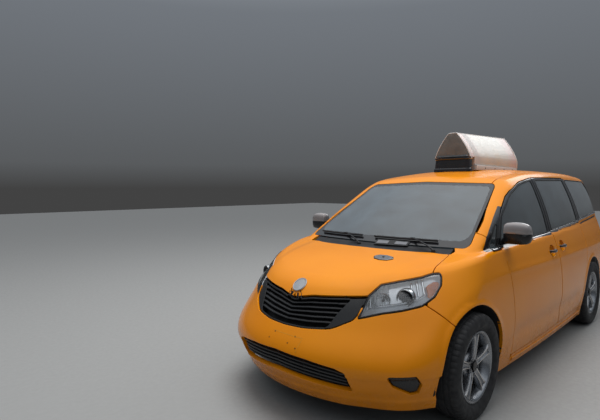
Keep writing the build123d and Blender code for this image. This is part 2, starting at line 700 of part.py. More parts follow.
def ad_topper():
    """A tent shaped display with bulged sides on a low base behind the number sign."""
    sections = []
    # x, half width at the foot, half width at the top, foot height, top height
    for x, foot, top, low, high in ((60, 190, 42, 1862, 2108), (-1160, 214, 60, 1862, 2135)):
        bulge = (foot * 0.72 + top * 0.28, low + (high - low) * 0.5)
        sections.append(Wire([
            Edge.make_line((x, -foot, low), (x, foot, low)),
            Edge.make_three_point_arc((x, foot, low), (x, *bulge), (x, top, high)),
            Edge.make_line((x, top, high), (x, -top, high)),
            Edge.make_three_point_arc((x, -top, high), (x, -bulge[0], bulge[1]), (x, -foot, low)),
        ]))
    shape = Solid.make_loft(sections, ruled=True)
    base = box(-1160, -36, -214, 214, 1725, 1862) - crowned(ROOF_TOP, -3)
    return largest(shape + largest(base))


write("hood", hood())
write("front_bumper", front_bumper())
write("front_fenders", *fenders())
write("cowl_and_wipers", cowl())
write("grilles", *grilles())
write("headlamps", *headlamps())
write("windshield", largest(GLASS & windshield_zone(-0.5)))
write("roof_panel", roof_panel())
write("tailgate", tailgate())
write("tailgate_glass", tailgate_glass())
write("rear_bumper", rear_bumper())
write("tail_lamps", *tail_lamps())
write("floor_pan", *floor_pan())
write("front_subframe", *front_subframe())
write("rear_axle", rear_axle())
write("engine", engine())
write("exhaust", exhaust())
write("fuel_tank", fuel_tank())
write("dashboard", dashboard())
write("front_seats", *front_seats())
write("rear_seats", *rear_seats())
write("steering_wheel", steering_wheel())
write("roof_sign", roof_sign())
write("ad_topper", ad_topper())


def write_pair(name, shape):
    write(f"{name}_left", shape)
    write(f"{name}_right", mirror_y(shape))


front_door = door(FRONT_DOOR, FRONT_DOOR_R, FRONT_DOOR_WINDOW, FRONT_DOOR_WINDOW_R)
write_pair("front_door", front_door + handle(-15, 962, 962))
write_pair("front_door_glass", pane(FRONT_DOOR_WINDOW, FRONT_DOOR_WINDOW_R))
sliding = door(SLIDING_DOOR, SLIDING_DOOR_R, SLIDING_DOOR_WINDOW, SLIDING_DOOR_WINDOW_R)
write_pair("sliding_door", sliding + handle(-310, 985, 960))
write_pair("body_side", body_side())
write_pair("mirror", mirror_housing())
write_pair("knuckle", knuckle())
for end, x in (("front", FRONT_AXLE_X), ("rear", REAR_AXLE_X)):
    for name, shape in (("wheel", wheel()), ("tyre", tyre())):
        write_pair(f"{name}_{end}", Pos(x, WHEEL_Y, AXLE_Z) * shape)
panes = [
    pane(SLIDING_DOOR_WINDOW, SLIDING_DOOR_WINDOW_R),
    pane(QUARTER_WINDOW, QUARTER_WINDOW_R),
    largest(pane(REAR_WINDOW, REAR_WINDOW_R) - tailgate_zone(2)),
]
write("side_glass", *panes, *[mirror_y(p) for p in panes])
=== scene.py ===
import json
import math

import bmesh
import bpy
import numpy as np
from mathutils import Matrix, Vector, geometry

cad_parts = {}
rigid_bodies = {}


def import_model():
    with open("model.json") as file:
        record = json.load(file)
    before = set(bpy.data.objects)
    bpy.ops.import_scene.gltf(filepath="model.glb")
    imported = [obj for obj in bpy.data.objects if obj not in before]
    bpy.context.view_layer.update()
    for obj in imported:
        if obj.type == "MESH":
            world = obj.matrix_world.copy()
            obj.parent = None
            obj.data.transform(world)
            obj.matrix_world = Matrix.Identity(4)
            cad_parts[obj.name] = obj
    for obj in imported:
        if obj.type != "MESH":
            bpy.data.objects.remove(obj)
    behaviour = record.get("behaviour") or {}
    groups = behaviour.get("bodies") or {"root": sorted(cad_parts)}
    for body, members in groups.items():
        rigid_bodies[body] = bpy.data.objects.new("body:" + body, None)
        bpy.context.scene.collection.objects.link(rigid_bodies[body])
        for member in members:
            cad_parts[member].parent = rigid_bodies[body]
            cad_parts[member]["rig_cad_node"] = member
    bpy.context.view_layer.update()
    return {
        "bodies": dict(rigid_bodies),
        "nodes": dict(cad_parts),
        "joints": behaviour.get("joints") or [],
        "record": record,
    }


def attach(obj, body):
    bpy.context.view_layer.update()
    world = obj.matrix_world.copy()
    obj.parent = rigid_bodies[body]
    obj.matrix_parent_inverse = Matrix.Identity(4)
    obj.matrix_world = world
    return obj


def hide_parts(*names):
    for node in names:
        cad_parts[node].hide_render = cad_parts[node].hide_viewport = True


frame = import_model()

# Driving sizes in metres, x forward, y to the left, z up, the floor at z 0
FRONT_AXLE = 1.59
REAR_AXLE = -1.44
AXLE_Z = 0.357
ARCH_R = 0.408
SHUT_GAP = 0.0024
HOOD_EDGE_R = 0.035
ROOF_EDGE_R = 0.05
WAIST_R = 0.012
CROWN_W = 1.1
WAIST_SPAN = 3.86
DOOR_SLANT = 0.25
ROOF_HALF_W = 0.6
GATE_TOP_X = -2.12
SILL_Z = 0.172
ABOVE_SILL = 0.1722
WHEEL_Y = 0.86
COWL_HALF_W = 0.672
FLOOR_Z = 0.305
TWO_SIDES = ((1, "left"), (-1, "right"))

# Plan outline of the lower body at each height: nose reach and radius, front corner radius,
# half width, tail reach and radius, rear corner radius
LOWER = [
    # z, nose_x, nose_r, front_r, half_w, tail_x, tail_r, rear_r
    (0.17, 2.385, 1.25, 0.50, 0.930, -2.450, 2.4, 0.26),
    (0.45, 2.542, 1.15, 0.54, 0.985, -2.550, 2.4, 0.32),
    (0.66, 2.440, 1.05, 0.58, 0.991, -2.530, 2.3, 0.26),
    (0.88, 2.292, 0.95, 0.62, 0.970, -2.486, 2.2, 0.20),
    (1.26, 1.700, 0.95, 0.50, 0.850, -2.434, 2.2, 0.16),
]
LOWER_SIDE = (-0.1, 35.0)

# Plan outline of the glasshouse, with the same columns
HOUSE = [
    (1.04, 1.545, 3.4, 0.13, 0.896, -2.405, 2.4, 0.20),
    (1.12, 1.410, 3.3, 0.13, 0.882, -2.418, 2.3, 0.20),
    (1.40, 0.935, 2.6, 0.14, 0.820, -2.352, 2.0, 0.21),
    (1.62, 0.560, 2.2, 0.15, 0.745, -2.250, 1.8, 0.22),
    (1.80, 0.260, 2.0, 0.15, 0.665, -2.120, 1.7, 0.22),
]
HOUSE_SIDE = (-0.5, 30.0)

# Height of the upper surface on the centre line and its drop at the crown width
HOOD_TOP = [
    # x, z, drop
    (2.62, 0.700, 0.080), (2.40, 0.868, 0.080), (2.20, 0.932, 0.078), (1.90, 1.015, 0.075),
    (1.60, 1.068, 0.060), (1.38, 1.095, 0.040), (1.15, 1.110, 0.020),
]
ROOF_TOP = [
    (1.70, 1.300, 0.13), (0.90, 1.555, 0.13), (0.60, 1.626, 0.13), (0.30, 1.685, 0.13),
    (-0.10, 1.728, 0.13), (-0.70, 1.750, 0.13), (-1.40, 1.742, 0.13), (-2.10, 1.700, 0.13),
    (-2.60, 1.655, 0.13),
]

# Outlines in side view, x and z
FRONT_DOOR = [
    (0.945, 0.262), (0.985, 0.700), (1.020, 0.985), (1.018, 1.085), (0.868, 1.335), (0.600, 1.503),
    (0.300, 1.597), (-0.038, 1.640), (-0.150, 1.125), (-0.165, 0.700), (-0.172, 0.275),
]
FRONT_DOOR_R = [0.02, 0.2, 0.06, 0.03, 0.3, 0.4, 0.4, 0.012, 0.1, 0.3, 0.02]
SLIDING_DOOR = [
    (-0.045, 1.641), (-0.158, 1.125), (-0.173, 0.700), (-0.180, 0.275), (-0.955, 0.300), (-0.985, 0.455),
    (-1.045, 0.605), (-1.130, 0.725), (-1.195, 0.860), (-1.200, 1.170), (-1.020, 1.648),
]
SLIDING_DOOR_R = [0.012, 0.1, 0.3, 0.02, 0.025, 0.06, 0.06, 0.06, 0.06, 0.1, 0.012]
FRONT_DOOR_WINDOW = [
    (0.958, 1.108), (-0.095, 1.138), (0.004, 1.612), (0.300, 1.573), (0.590, 1.478), (0.838, 1.322),
]
FRONT_DOOR_WINDOW_R = [0.02, 0.02, 0.025, 0.4, 0.3, 0.03]
SLIDING_DOOR_WINDOW = [(-0.215, 1.150), (-1.130, 1.192), (-0.990, 1.622), (-0.106, 1.614)]
SLIDING_DOOR_WINDOW_R = [0.02, 0.03, 0.03, 0.025]
QUARTER_WINDOW = [(1.168, 1.090), (1.050, 1.090), (0.925, 1.312)]
QUARTER_WINDOW_R = [0.008, 0.012, 0.012]
REAR_WINDOW = [(-1.262, 1.205), (-2.215, 1.252), (-2.235, 1.320), (-1.945, 1.612), (-1.085, 1.626)]
REAR_WINDOW_R = [0.03, 0.04, 0.06, 0.06, 0.025]
PILLAR_SEAM = [(1.172, 1.081), (1.128, 1.150), (1.180, 1.228)]
BUMPER_SPLIT = [(1.858, 0.691), (1.985, 0.838), (2.75, 0.838), (2.75, 0.06), (1.70, 0.06), (1.70, 0.50)]
REAR_BUMPER = [(-1.76, 0.10), (-1.76, 0.555), (-2.20, 0.625), (-2.75, 0.625), (-2.75, 0.10)]

# Outlines in front view, y and z, and in corner view, (|y| - |x|) / sqrt 2 and z
HOOD_EDGE = [
    (-1.3, 2.0), (-1.3, 0.860), (-0.505, 0.858), (-0.15, 0.832), (0, 0.803), (0.15, 0.832),
    (0.505, 0.858), (1.3, 0.860), (1.3, 2.0),
]
GRILLE = [
    (-0.505, 0.852), (-0.15, 0.826), (0, 0.797), (0.15, 0.826), (0.505, 0.852), (0.467, 0.722),
    (0.35, 0.658), (0.17, 0.640), (0, 0.636), (-0.17, 0.640), (-0.35, 0.658), (-0.467, 0.722),
]
LOWER_TOP = [(0.0, 0.484), (0.25, 0.470), (0.44, 0.446), (0.498, 0.424)]
LOWER_FOOT = [(0.0, 0.346), (0.34, 0.318), (0.516, 0.301)]
WINDSHIELD = [(-0.769, 1.108), (0.769, 1.108), (0.634, 1.585), (0, 1.606), (-0.634, 1.585)]
TAILGATE = [
    (-0.600, 1.800), (0.600, 1.800), (0.640, 1.640), (0.745, 1.260), (0.735, 0.860), (0.690, 0.640),
    (-0.690, 0.640), (-0.735, 0.860), (-0.745, 1.260), (-0.640, 1.640),
]
TAILGATE_WINDOW = [(-0.56, 1.625), (0.56, 1.625), (0.655, 1.230), (-0.655, 1.230)]
HEADLAMP = [
    (-1.271, 0.727), (-1.117, 0.762), (-0.990, 0.779), (-0.859, 0.803), (-0.764, 0.852), (-0.706, 0.915),
    (-0.690, 0.965), (-0.700, 0.990), (-0.750, 0.988), (-0.834, 0.968), (-0.990, 0.945), (-1.103, 0.925),
    (-1.190, 0.862),
]
FOG_COVER = [
    (-1.122, 0.424), (-0.938, 0.424), (-0.895, 0.362), (-0.915, 0.305), (-0.960, 0.300), (-1.075, 0.358),
]
TAIL_LAMP = [(-1.228, 0.880), (-1.010, 0.905), (-0.925, 1.010), (-0.940, 1.110), (-1.020, 1.150),
             (-1.212, 1.150)]

# Outline of the hood in plan, x and y, and the back edge that the wiper panel shares
HOOD_SIDE = [(2.70, 0.90), (1.99, 0.80), (1.93, 0.778), (1.75, 0.724), (1.50, 0.688), (1.452, 0.680)]
HOOD_BACK = [(1.560, 0.400), (1.600, 0.0)]


# Curves and the body's outer surface
class Curve:
    """Natural cubics through a table whose first column is the place, held at its ends."""

    def __init__(self, rows):
        rows = np.array(sorted(rows), float)
        self.x, self.y = rows[:, 0], rows[:, 1:]
        n = len(rows)
        self.h = np.diff(self.x)
        self.slope = np.diff(self.y, axis=0) / self.h[:, None]
        system = np.eye(n)
        right = np.zeros_like(self.y)
        for i in range(1, n - 1):
            system[i, i - 1:i + 2] = self.h[i - 1], 2 * (self.h[i - 1] + self.h[i]), self.h[i]
            right[i] = 6 * (self.slope[i] - self.slope[i - 1])
        self.bend = np.linalg.solve(system, right)

    def at(self, x):
        x = np.clip(x, self.x[0], self.x[-1])
        k = np.clip(np.searchsorted(self.x, x) - 1, 0, len(self.h) - 1)
        t, h = (x - self.x[k])[:, None], self.h[k][:, None]
        low, high = self.bend[k], self.bend[k + 1]
        first = self.slope[k] - h * (2 * low + high) / 6
        return (self.y[k] + t * first + t**2 * low / 2 + t**3 * (high - low) / (6 * h)).T


LOWER_CURVE = Curve(LOWER)
HOUSE_CURVE = Curve(HOUSE)
HOOD_CURVE = Curve(HOOD_TOP)
ROOF_CURVE = Curve(ROOF_TOP)


def unit(vector):
    return vector / np.linalg.norm(vector)


def smooth_step(x, low, high):
    t = np.clip((x - low) / (high - low), 0, 1)
    return t * t * (3 - 2 * t)


def both(a, b, radius):
    """Inside both shapes, the edge between them rounded."""
    out = np.hypot(np.maximum(a + radius, 0), np.maximum(b + radius, 0))
    return np.minimum(np.maximum(a, b), -radius) + out


def either(a, b, radius):
    return -both(-a, -b, radius)


def plan_gap(x, y, z, curve, side):
    """Distance in plan from the eight tangent arcs that bound a section, negative inside."""
    nose_x, nose_r, front_r, half_w, tail_x, tail_r, rear_r = curve.at(z)
    y = np.abs(y)
    side_x, side_r = side
    flank = half_w - side_r
    nose, tail = nose_x - nose_r, tail_x + tail_r
    gap = np.hypot(x - side_x, y - flank) - side_r
    for centre, large, small, ahead in ((nose, nose_r, front_r, 1), (tail, tail_r, rear_r, -1)):
        reach, reach_side = large - small, side_r - small
        span = np.hypot(side_x - centre, flank)
        ux, uy = (side_x - centre) / span, flank / span
        along = (reach**2 - reach_side**2 + span**2) / (2 * span)
        off = np.sqrt(np.maximum(reach**2 - along**2, 0))
        cx, cy = centre + along * ux - ahead * off * uy, along * uy + ahead * off * ux
        qx, qy = x - cx, y - cy
        first = (cx - centre) * qy - cy * qx
        last = qx * (cy - flank) - qy * (cx - side_x)
        wedge = (ahead * first >= 0) & (ahead * last >= 0)
        gap = np.where(ahead * qx > 0, np.maximum(gap, np.hypot(x - centre, y) - large), gap)
        gap = np.where(wedge, np.hypot(qx, qy) - small, gap)
    return gap


def lower_top(x, y):
    """Height of the hood, or of the waist behind it."""
    z, drop = HOOD_CURVE.at(x)
    hood = z - drop * (y / CROWN_W) ** 2
    waist = 1.092 + (1.16 - x) * 0.108 / WAIST_SPAN
    share = smooth_step(x, 1.0, 1.15)
    return hood * share + waist * (1 - share)


def relief(x, y, z):
    """Small forms pressed into the panels or raised from them, positive is inward."""
    y = np.abs(y)
    out = np.zeros_like(x)
    # Lips round the wheel arches
    for axle in (FRONT_AXLE, REAR_AXLE):
        r = np.hypot(x - axle, z - AXLE_Z)
        lip = smooth_step(r, ARCH_R + 0.045, ARCH_R + 0.012) * (y > 0.6)
        out -= 0.006 * lip
    # Raised middle of the hood
    centre_w = 0.50 + 0.10 * smooth_step(x, 2.3, 1.5)
    ridge = 1 - smooth_step(y, centre_w - 0.05, centre_w + 0.05)
    out -= 0.009 * ridge * smooth_step(x, 1.2, 1.6) * (z > 0.8) * (x > 1.2)
    # Shoulder line along the doors under the handles, and the hollow above the rocker
    shoulder = 0.0035 * np.exp(-((z - 0.905 - 0.012 * x) / 0.03) ** 2) * smooth_step(x, 1.4, 0.8)
    out -= shoulder * (y > 0.7) * (x > -2.2)
    hollow = 0.012 * np.exp(-((z - 0.43) / 0.07) ** 2) * smooth_step(np.abs(x - 0.05), 1.0, 0.75)
    out += hollow * (y > 0.7)
    # Lower edge of the bumper and the crease that runs from the low grille to the fog covers
    front = smooth_step(x, 1.7, 1.9)
    lip = 0.010 * smooth_step(z, 0.275, 0.235)
    crease = 0.012 * smooth_step(z, 0.405, 0.388) * smooth_step(y, 0.40, 0.56)
    out += front * (crease - lip)
    return out


def body_gap(p):
    """Distance of points from the body's surface, negative inside."""
    x, y, z = p.T
    lower = plan_gap(x, y, z, LOWER_CURVE, LOWER_SIDE)
    lower = both(lower, z - lower_top(x, y), HOOD_EDGE_R)
    top, drop = ROOF_CURVE.at(x)
    house = plan_gap(x, y, z, HOUSE_CURVE, HOUSE_SIDE)
    house = both(house, z - top + drop * (y / CROWN_W) ** 2, ROOF_EDGE_R)
    return either(lower, house, WAIST_R) + relief(x, y, z)


def normals_at(p):
    step = 0.0015
    n = np.empty_like(p)
    for axis in range(3):
        shift = np.zeros(3)
        shift[axis] = step
        n[:, axis] = body_gap(p + shift) - body_gap(p - shift)
    return n / np.linalg.norm(n, axis=1)[:, None]


def cast(centre, direction, far=2.0, near=0.05, coarse=44, fine=18):
    """The outermost point of the body's surface along each ray, as places on the ray."""
    n = len(centre)
    best = np.full(n, np.nan)
    steps = np.linspace(far, near, coarse)
    for t in steps:
        todo = np.isnan(best)
        if not todo.any():
            break
        index = np.nonzero(todo)[0]
        inside = body_gap(centre[index] + t * direction[index]) < 0
        best[index[inside]] = t
    width = (far - near) / (coarse - 1)
    low, high = best.copy(), best + width
    known = ~np.isnan(best)
    c, d = centre[known], direction[known]
    lo, hi = low[known], high[known]
    for _ in range(fine):
        mid = (lo + hi) / 2
        inside = body_gap(c + mid[:, None] * d) < 0
        lo, hi = np.where(inside, mid, lo), np.where(inside, hi, mid)
    result = np.full(n, np.nan)
    result[known] = lo
    return centre + result[:, None] * direction


# Charts that flatten a part of the surface
class Top:
    """Seen from above: u along x, v along y."""

    flip = False

    def rays(self, uv):
        centre = np.column_stack([uv, np.zeros(len(uv))])
        return centre, np.tile([0.0, 0.0, 1.0], (len(uv), 1))

    def place(self, p):
        return p[:, :2]


class Shell:
    """Unrolled from the left side round nose and tail, and over the upper edge above z_turn."""

    flip = True

    def __init__(self, back, front, z_turn, reach, plan_r=1.0, turn_r=0.4):
        self.back, self.front, self.z_turn = back, front, z_turn
        self.reach, self.plan_r, self.turn_r = reach, plan_r, turn_r

    def rays(self, uv):
        u, v = uv.T
        x = np.clip(u, self.back, self.front)
        angle = (u - x) / self.plan_r
        hx, hy = np.sin(angle), np.cos(angle)
        tilt = np.maximum(v - self.z_turn, 0) / self.turn_r
        reach = np.where(tilt > 0, self.reach, 0)
        centre = np.column_stack([x + reach * hx, reach * hy, np.minimum(v, self.z_turn)])
        return centre, np.column_stack([np.cos(tilt) * hx, np.cos(tilt) * hy, np.sin(tilt)])

    def place(self, p):
        x = np.clip(p[:, 0], self.back, self.front)
        away = p[:, 0] - x
        u = x + self.plan_r * np.arctan2(away, p[:, 1])
        rho = np.hypot(away, p[:, 1])
        tilt = np.arctan2(p[:, 2] - self.z_turn, rho - self.reach)
        v = np.where(p[:, 2] > self.z_turn, self.z_turn + self.turn_r * tilt, p[:, 2])
        return np.column_stack([u, v])


TOP = Top()
FLANK = Shell(-1.95, 1.1, 1.30, 0.35)
FENDER = Shell(-1.0, 1.45, 0.75, 0.50)
NOSE = Shell(-1.0, 1.2, 0.95, 0.6, 1.25)
STERN = Shell(-1.5, 1.0, 1.45, 0.6)


def surface(chart, uv):
    centre, direction = chart.rays(np.asarray(uv, float))
    return cast(centre, direction)


# Flat views in which the outlines are drawn
class View:
    def __init__(self, a, b, out, least):
        self.a, self.b, self.out, self.least = np.array(a), np.array(b), np.array(out), least

    def flat(self, p):
        return np.column_stack([p @ self.a, p @ self.b])

    def lift(self, points):
        points = np.asarray(points, float)
        centre = points[:, :1] * self.a + points[:, 1:] * self.b
        direction = np.tile(self.out, (len(points), 1))
        return cast(centre, direction.astype(float), far=2.9)


DIAGONAL = math.sqrt(0.5)
SIDE = View((1.0, 0, 0), (0, 0, 1.0), (0, 1.0, 0), 0.2)
FRONT = View((0, 1.0, 0), (0, 0, 1.0), (1.0, 0, 0), 0.3)
BACK = View((0, 1.0, 0), (0, 0, 1.0), (-1.0, 0, 0), 1.2)
ACROSS = View((1.0, 0, 0), (0, 0, 1.0), (0, 1.0, 0), -9.0)
PLAN = View((1.0, 0, 0), (0, 1.0, 0), (0, 0, 1.0), 0.5)
FRONT_CORNER = View((-DIAGONAL, DIAGONAL, 0), (0, 0, 1.0), (DIAGONAL, DIAGONAL, 0), 1.0)
BACK_CORNER = View((DIAGONAL, DIAGONAL, 0), (0, 0, 1.0), (-DIAGONAL, DIAGONAL, 0), 1.0)


def rounded(points, radii=0, arc_step=0.35):
    """A closed polygon with its corners rounded to a radius, or to one each."""
    points = np.asarray(points, float)
    n = len(points)
    radii = [radii] * n if np.isscalar(radii) else radii
    result = []
    for i in range(n):
        before, here, after = points[i - 1], points[i], points[(i + 1) % n]
        a, b = before - here, after - here
        la, lb = np.linalg.norm(a), np.linalg.norm(b)
        a, b = a / la, b / lb
        half = math.acos(np.clip(a @ b, -1, 1)) / 2
        if radii[i] == 0 or half > 1.56:
            result.append(here)
            continue
        cut = min(radii[i] / math.tan(half), 0.45 * la, 0.45 * lb)
        radius = cut * math.tan(half)
        middle = unit(a + b)
        centre = here + middle * radius / math.sin(half)
        start, end = here + a * cut - centre, here + b * cut - centre
        turn = math.pi - 2 * half
        count = max(2, math.ceil(turn / arc_step) + 1)
        for t in np.linspace(0, 1, count):
            mix = (math.sin((1 - t) * turn) * start + math.sin(t * turn) * end) / math.sin(turn)
            result.append(centre + mix)
    return np.array(result)


def dense(points, step=0.012, closed=True):
    points = np.asarray(points, float)
    ends = np.roll(points, -1, axis=0) if closed else points[1:]
    parts = []
    for a, b in zip(points, ends):
        count = max(1, math.ceil(np.linalg.norm(b - a) / step))
        parts.append(a + (b - a) * np.linspace(0, 1, count, endpoint=False)[:, None])
    if not closed:
        parts.append(points[-1:])
    return np.vstack(parts)


def contains(polygon, q):
    """Even-odd test of many points against one polygon or a list of loops."""
    inside = np.zeros(len(q), bool)
    loops = polygon if isinstance(polygon, list) else [polygon]
    for loop in loops:
        for (x0, y0), (x1, y1) in zip(loop, np.roll(loop, -1, axis=0)):
            if y0 == y1:
                continue
            cross = (q[:, 1] < y0) != (q[:, 1] < y1)
            inside ^= cross & (q[:, 0] < x0 + (q[:, 1] - y0) * (x1 - x0) / (y1 - y0))
    return inside


class Zone:
    """An outline in one view, and the part of the surface behind it."""

    def __init__(self, view, points, radii=0, mirrored=False):
        self.view, self.mirrored = view, mirrored
        self.points = rounded(points, radii)

    def has(self, p):
        if self.mirrored:
            p = p * [1, -1, 1]
        return contains(self.points, self.view.flat(p)) & (p @ self.view.out > self.view.least)

    def line(self):
        lifted = self.view.lift(dense(self.points))
        return lifted * [1, -1, 1] if self.mirrored else lifted

    def other_side(self):
        twin = Zone(self.view, self.points)
        twin.mirrored = not self.mirrored
        return twin


def circle(x, z, radius, count=72):
    angle = np.linspace(0, 2 * math.pi, count, endpoint=False)
    return np.column_stack([x + radius * np.cos(angle), z + radius * np.sin(angle)])


def symmetric(first, half, last):
    """A closed outline from two points on the middle line and the half between them."""
    return [first] + half + [last] + [(-y, z) for y, z in reversed(half)]


# Black parts of the side, the clear part of the windshield and the gap between the doors
BLACK_FRONT = [
    (1.262, 1.083), (1.160, 1.170), (1.055, 1.242), (0.930, 1.322), (0.800, 1.400), (0.60, 1.38),
    (0.60, 1.092), (0.90, 1.083),
]
BLACK_REAR = [(-1.150, 1.172), (-0.970, 1.640), (-1.088, 1.640), (-1.280, 1.190)]
CLEAR_VIEW = [(-0.735, 1.150), (0.735, 1.150), (0.615, 1.560), (0, 1.582), (-0.615, 1.560)]
POST = [
    (-0.020, 1.632), (-0.135, 1.115), (-0.150, 0.700), (-0.155, 0.280), (-0.200, 0.280), (-0.190, 0.700),
    (-0.175, 1.115), (-0.060, 1.632),
]
LOWER_GRILLE = symmetric(LOWER_TOP[0], LOWER_TOP[1:] + LOWER_FOOT[:0:-1], LOWER_FOOT[0])
hood_half = HOOD_SIDE + HOOD_BACK
HOOD_PLAN = hood_half + [(x, -y) for x, y in reversed(hood_half[:-1])]
FENDER_BACK = [(0.930, 0.10), (0.945, 0.262), (0.985, 0.700), (1.020, 0.985), (1.023, 1.081)]
FENDER_SIDE = FENDER_BACK + PILLAR_SEAM + [(2.60, 1.228), (2.60, 0.10)]
BODY_FRONT = FENDER_BACK + PILLAR_SEAM + [(1.70, 1.228), (1.70, 0.10)]

zones = {
    "hood": Zone(PLAN, HOOD_PLAN,
                 [0, 0.05, 0.2, 0.3, 0.04, 0.06, 0.5, 1.2, 0.5, 0.06, 0.04, 0.3, 0.2, 0.05, 0]),
    "hood_edge": Zone(FRONT, HOOD_EDGE, [0, 0, 0.2, 0.2, 0.12, 0.2, 0.2, 0, 0]),
    "grille": Zone(FRONT, GRILLE, [0.01, 0.2, 0.12, 0.2, 0.01, 0.05, 0.15, 0.4, 0, 0.4, 0.15, 0.05]),
    "lower_grille": Zone(FRONT, LOWER_GRILLE, 0.012),
    "windshield": Zone(FRONT, WINDSHIELD, [0.03, 0.03, 0.06, 0, 0.06]),
    "clear_view": Zone(FRONT, CLEAR_VIEW, 0.05),
    "tailgate": Zone(BACK, TAILGATE, [0, 0, 0.1, 0.4, 0.1, 0.06, 0.06, 0.1, 0.4, 0.1]),
    "tailgate_window": Zone(BACK, TAILGATE_WINDOW, 0.05),
    "headlamp": Zone(FRONT_CORNER, HEADLAMP, [0.005, 0.2] + [0.03] * 11),
    "fog_cover": Zone(FRONT_CORNER, FOG_COVER, 0.012),
    "tail_lamp": Zone(BACK_CORNER, TAIL_LAMP, 0.02),
    "front_door": Zone(SIDE, FRONT_DOOR, FRONT_DOOR_R),
    "sliding_door": Zone(SIDE, SLIDING_DOOR, SLIDING_DOOR_R),
    "front_window": Zone(SIDE, FRONT_DOOR_WINDOW, FRONT_DOOR_WINDOW_R),
    "sliding_window": Zone(SIDE, SLIDING_DOOR_WINDOW, SLIDING_DOOR_WINDOW_R),
    "quarter_window": Zone(SIDE, QUARTER_WINDOW, QUARTER_WINDOW_R),
    "rear_window": Zone(SIDE, REAR_WINDOW, REAR_WINDOW_R),
    "black_front": Zone(SIDE, BLACK_FRONT),
    "black_rear": Zone(SIDE, BLACK_REAR),
    "post": Zone(SIDE, POST),
    "fender": Zone(SIDE, FENDER_SIDE),
    "body_front": Zone(SIDE, BODY_FRONT),
    "bumper": Zone(ACROSS, BUMPER_SPLIT, [0.01, 0.03, 0, 0, 0, 0]),
    "rear_bumper": Zone(ACROSS, REAR_BUMPER, [0, 0.03, 0.05, 0, 0]),
    "front_arch": Zone(SIDE, circle(FRONT_AXLE, AXLE_Z, ARCH_R)),
    "rear_arch": Zone(SIDE, circle(REAR_AXLE, AXLE_Z, ARCH_R)),
}
for name in ("headlamp", "fog_cover", "tail_lamp", "bumper", "rear_bumper", "front_arch", "rear_arch"):
    zones[name + "_right"] = zones[name].other_side()


# Panel meshing
def loops_of(triangles):
    """Closed chains of the edges that only one triangle uses, the region on their left."""
    edges = set()
    for a, b, c in triangles:
        edges.update(((a, b), (b, c), (c, a)))
    after = {}
    for a, b in edges:
        if (b, a) not in edges:
            after.setdefault(a, []).append(b)
    loops = []
    while after:
        start = next(iter(after))
        loop, here = [start], start
        while True:
            nexts = after[here]
            here = nexts.pop()
            if not nexts:
                del after[loop[-1]]
            if here == start:
                break
            loop.append(here)
        loops.append(loop)
    return loops


def triangulate(points, edges):
    result = geometry.delaunay_2d_cdt([Vector(p) for p in points], edges, [], 0, 1e-7, False)
    return np.array([tuple(v) for v in result[0]]), result[2]


def thin_out(loop, least=0.0025):
    keep = [loop[0]]
    for q in loop[1:]:
        if np.linalg.norm(q - keep[-1]) > least:
            keep.append(q)
    if np.linalg.norm(keep[0] - keep[-1]) <= least:
        keep.pop()
    return np.array(keep)


def inset(loop, amount):
    """A loop moved to its left, mitred at its corners."""
    ahead = np.roll(loop, -1, axis=0) - loop
    ahead /= np.linalg.norm(ahead, axis=1)[:, None]
    left = np.column_stack([-ahead[:, 1], ahead[:, 0]])
    before = np.roll(left, 1, axis=0)
    share = 1 + np.sum(left * before, axis=1)
    mitre = (left + before) / np.maximum(share, 0.5)[:, None]
    return loop + amount * mitre


def grid_points(loops, step):
    """Staggered points inside the loops, kept clear of them."""
    every = np.vstack(loops)
    low, high = every.min(axis=0), every.max(axis=0)
    rows = []
    for i, v in enumerate(np.arange(low[1], high[1], step * 0.87)):
        u = np.arange(low[0] + (step / 2 if i % 2 else 0), high[0], step)
        rows.append(np.column_stack([u, np.full(len(u), v)]))
    points = np.vstack(rows)
    points = points[contains(loops, points)]
    clear = np.full(len(points), np.inf)
    for loop in loops:
        for a, b in zip(loop, np.roll(loop, -1, axis=0)):
            d = b - a
            t = np.clip(((points - a) @ d) / max(d @ d, 1e-12), 0, 1)
            clear = np.minimum(clear, np.linalg.norm(points - a - t[:, None] * d, axis=1))
    return points[clear > step * 0.45]


def region(chart, cuts, keep, low, high, step=0.05):
    """Loops in chart coordinates of the part of the surface that a test keeps."""
    u, v = np.meshgrid(np.arange(low[0], high[0], step), np.arange(low[1], high[1], step))
    points = [np.column_stack([u.ravel(), v.ravel()])]
    edges, total = [], len(points[0])
    for line in cuts:
        good = ~np.isnan(line[:, 0])
        uv = np.where(good[:, None], chart.place(np.nan_to_num(line)), 0)
        n = len(uv)
        spans = np.linalg.norm(np.roll(uv, -1, axis=0) - uv, axis=1)
        points.append(uv)
        edges += [(total + i, total + (i + 1) % n) for i in range(n)
                  if good[i] and good[(i + 1) % n] and spans[i] < 0.08]
        total += n
    points = np.vstack(points)
    outside = (points < low).any(axis=1) | (points > high).any(axis=1)
    edges = [e for e in edges if not (outside[e[0]] or outside[e[1]])]
    spots = np.nonzero(~outside)[0]
    new = {old: i for i, old in enumerate(spots)}
    edges = [(new[a], new[b]) for a, b in edges]
    verts, faces = triangulate(points[spots], edges)
    faces = np.array([f for f in faces if len(f) == 3])
    middle = verts[faces].mean(axis=1)
    place = surface(chart, middle)
    good = ~np.isnan(place[:, 0])
    ok = np.zeros(len(faces), bool)
    ok[good] = keep(place[good])
    area = np.cross(verts[faces[:, 1]] - verts[faces[:, 0]], verts[faces[:, 2]] - verts[faces[:, 0]])
    ok &= np.abs(area) > 1e-9
    loops = [thin_out(verts[loop]) for loop in loops_of(faces[ok].tolist())]
    return [loop for loop in loops if len(loop) > 5 and abs(twice_area(loop)) > 8e-4]


def twice_area(loop):
    """Positive for a loop that turns left."""
    x, y = loop.T
    return np.sum(x * np.roll(y, -1) - y * np.roll(x, -1))


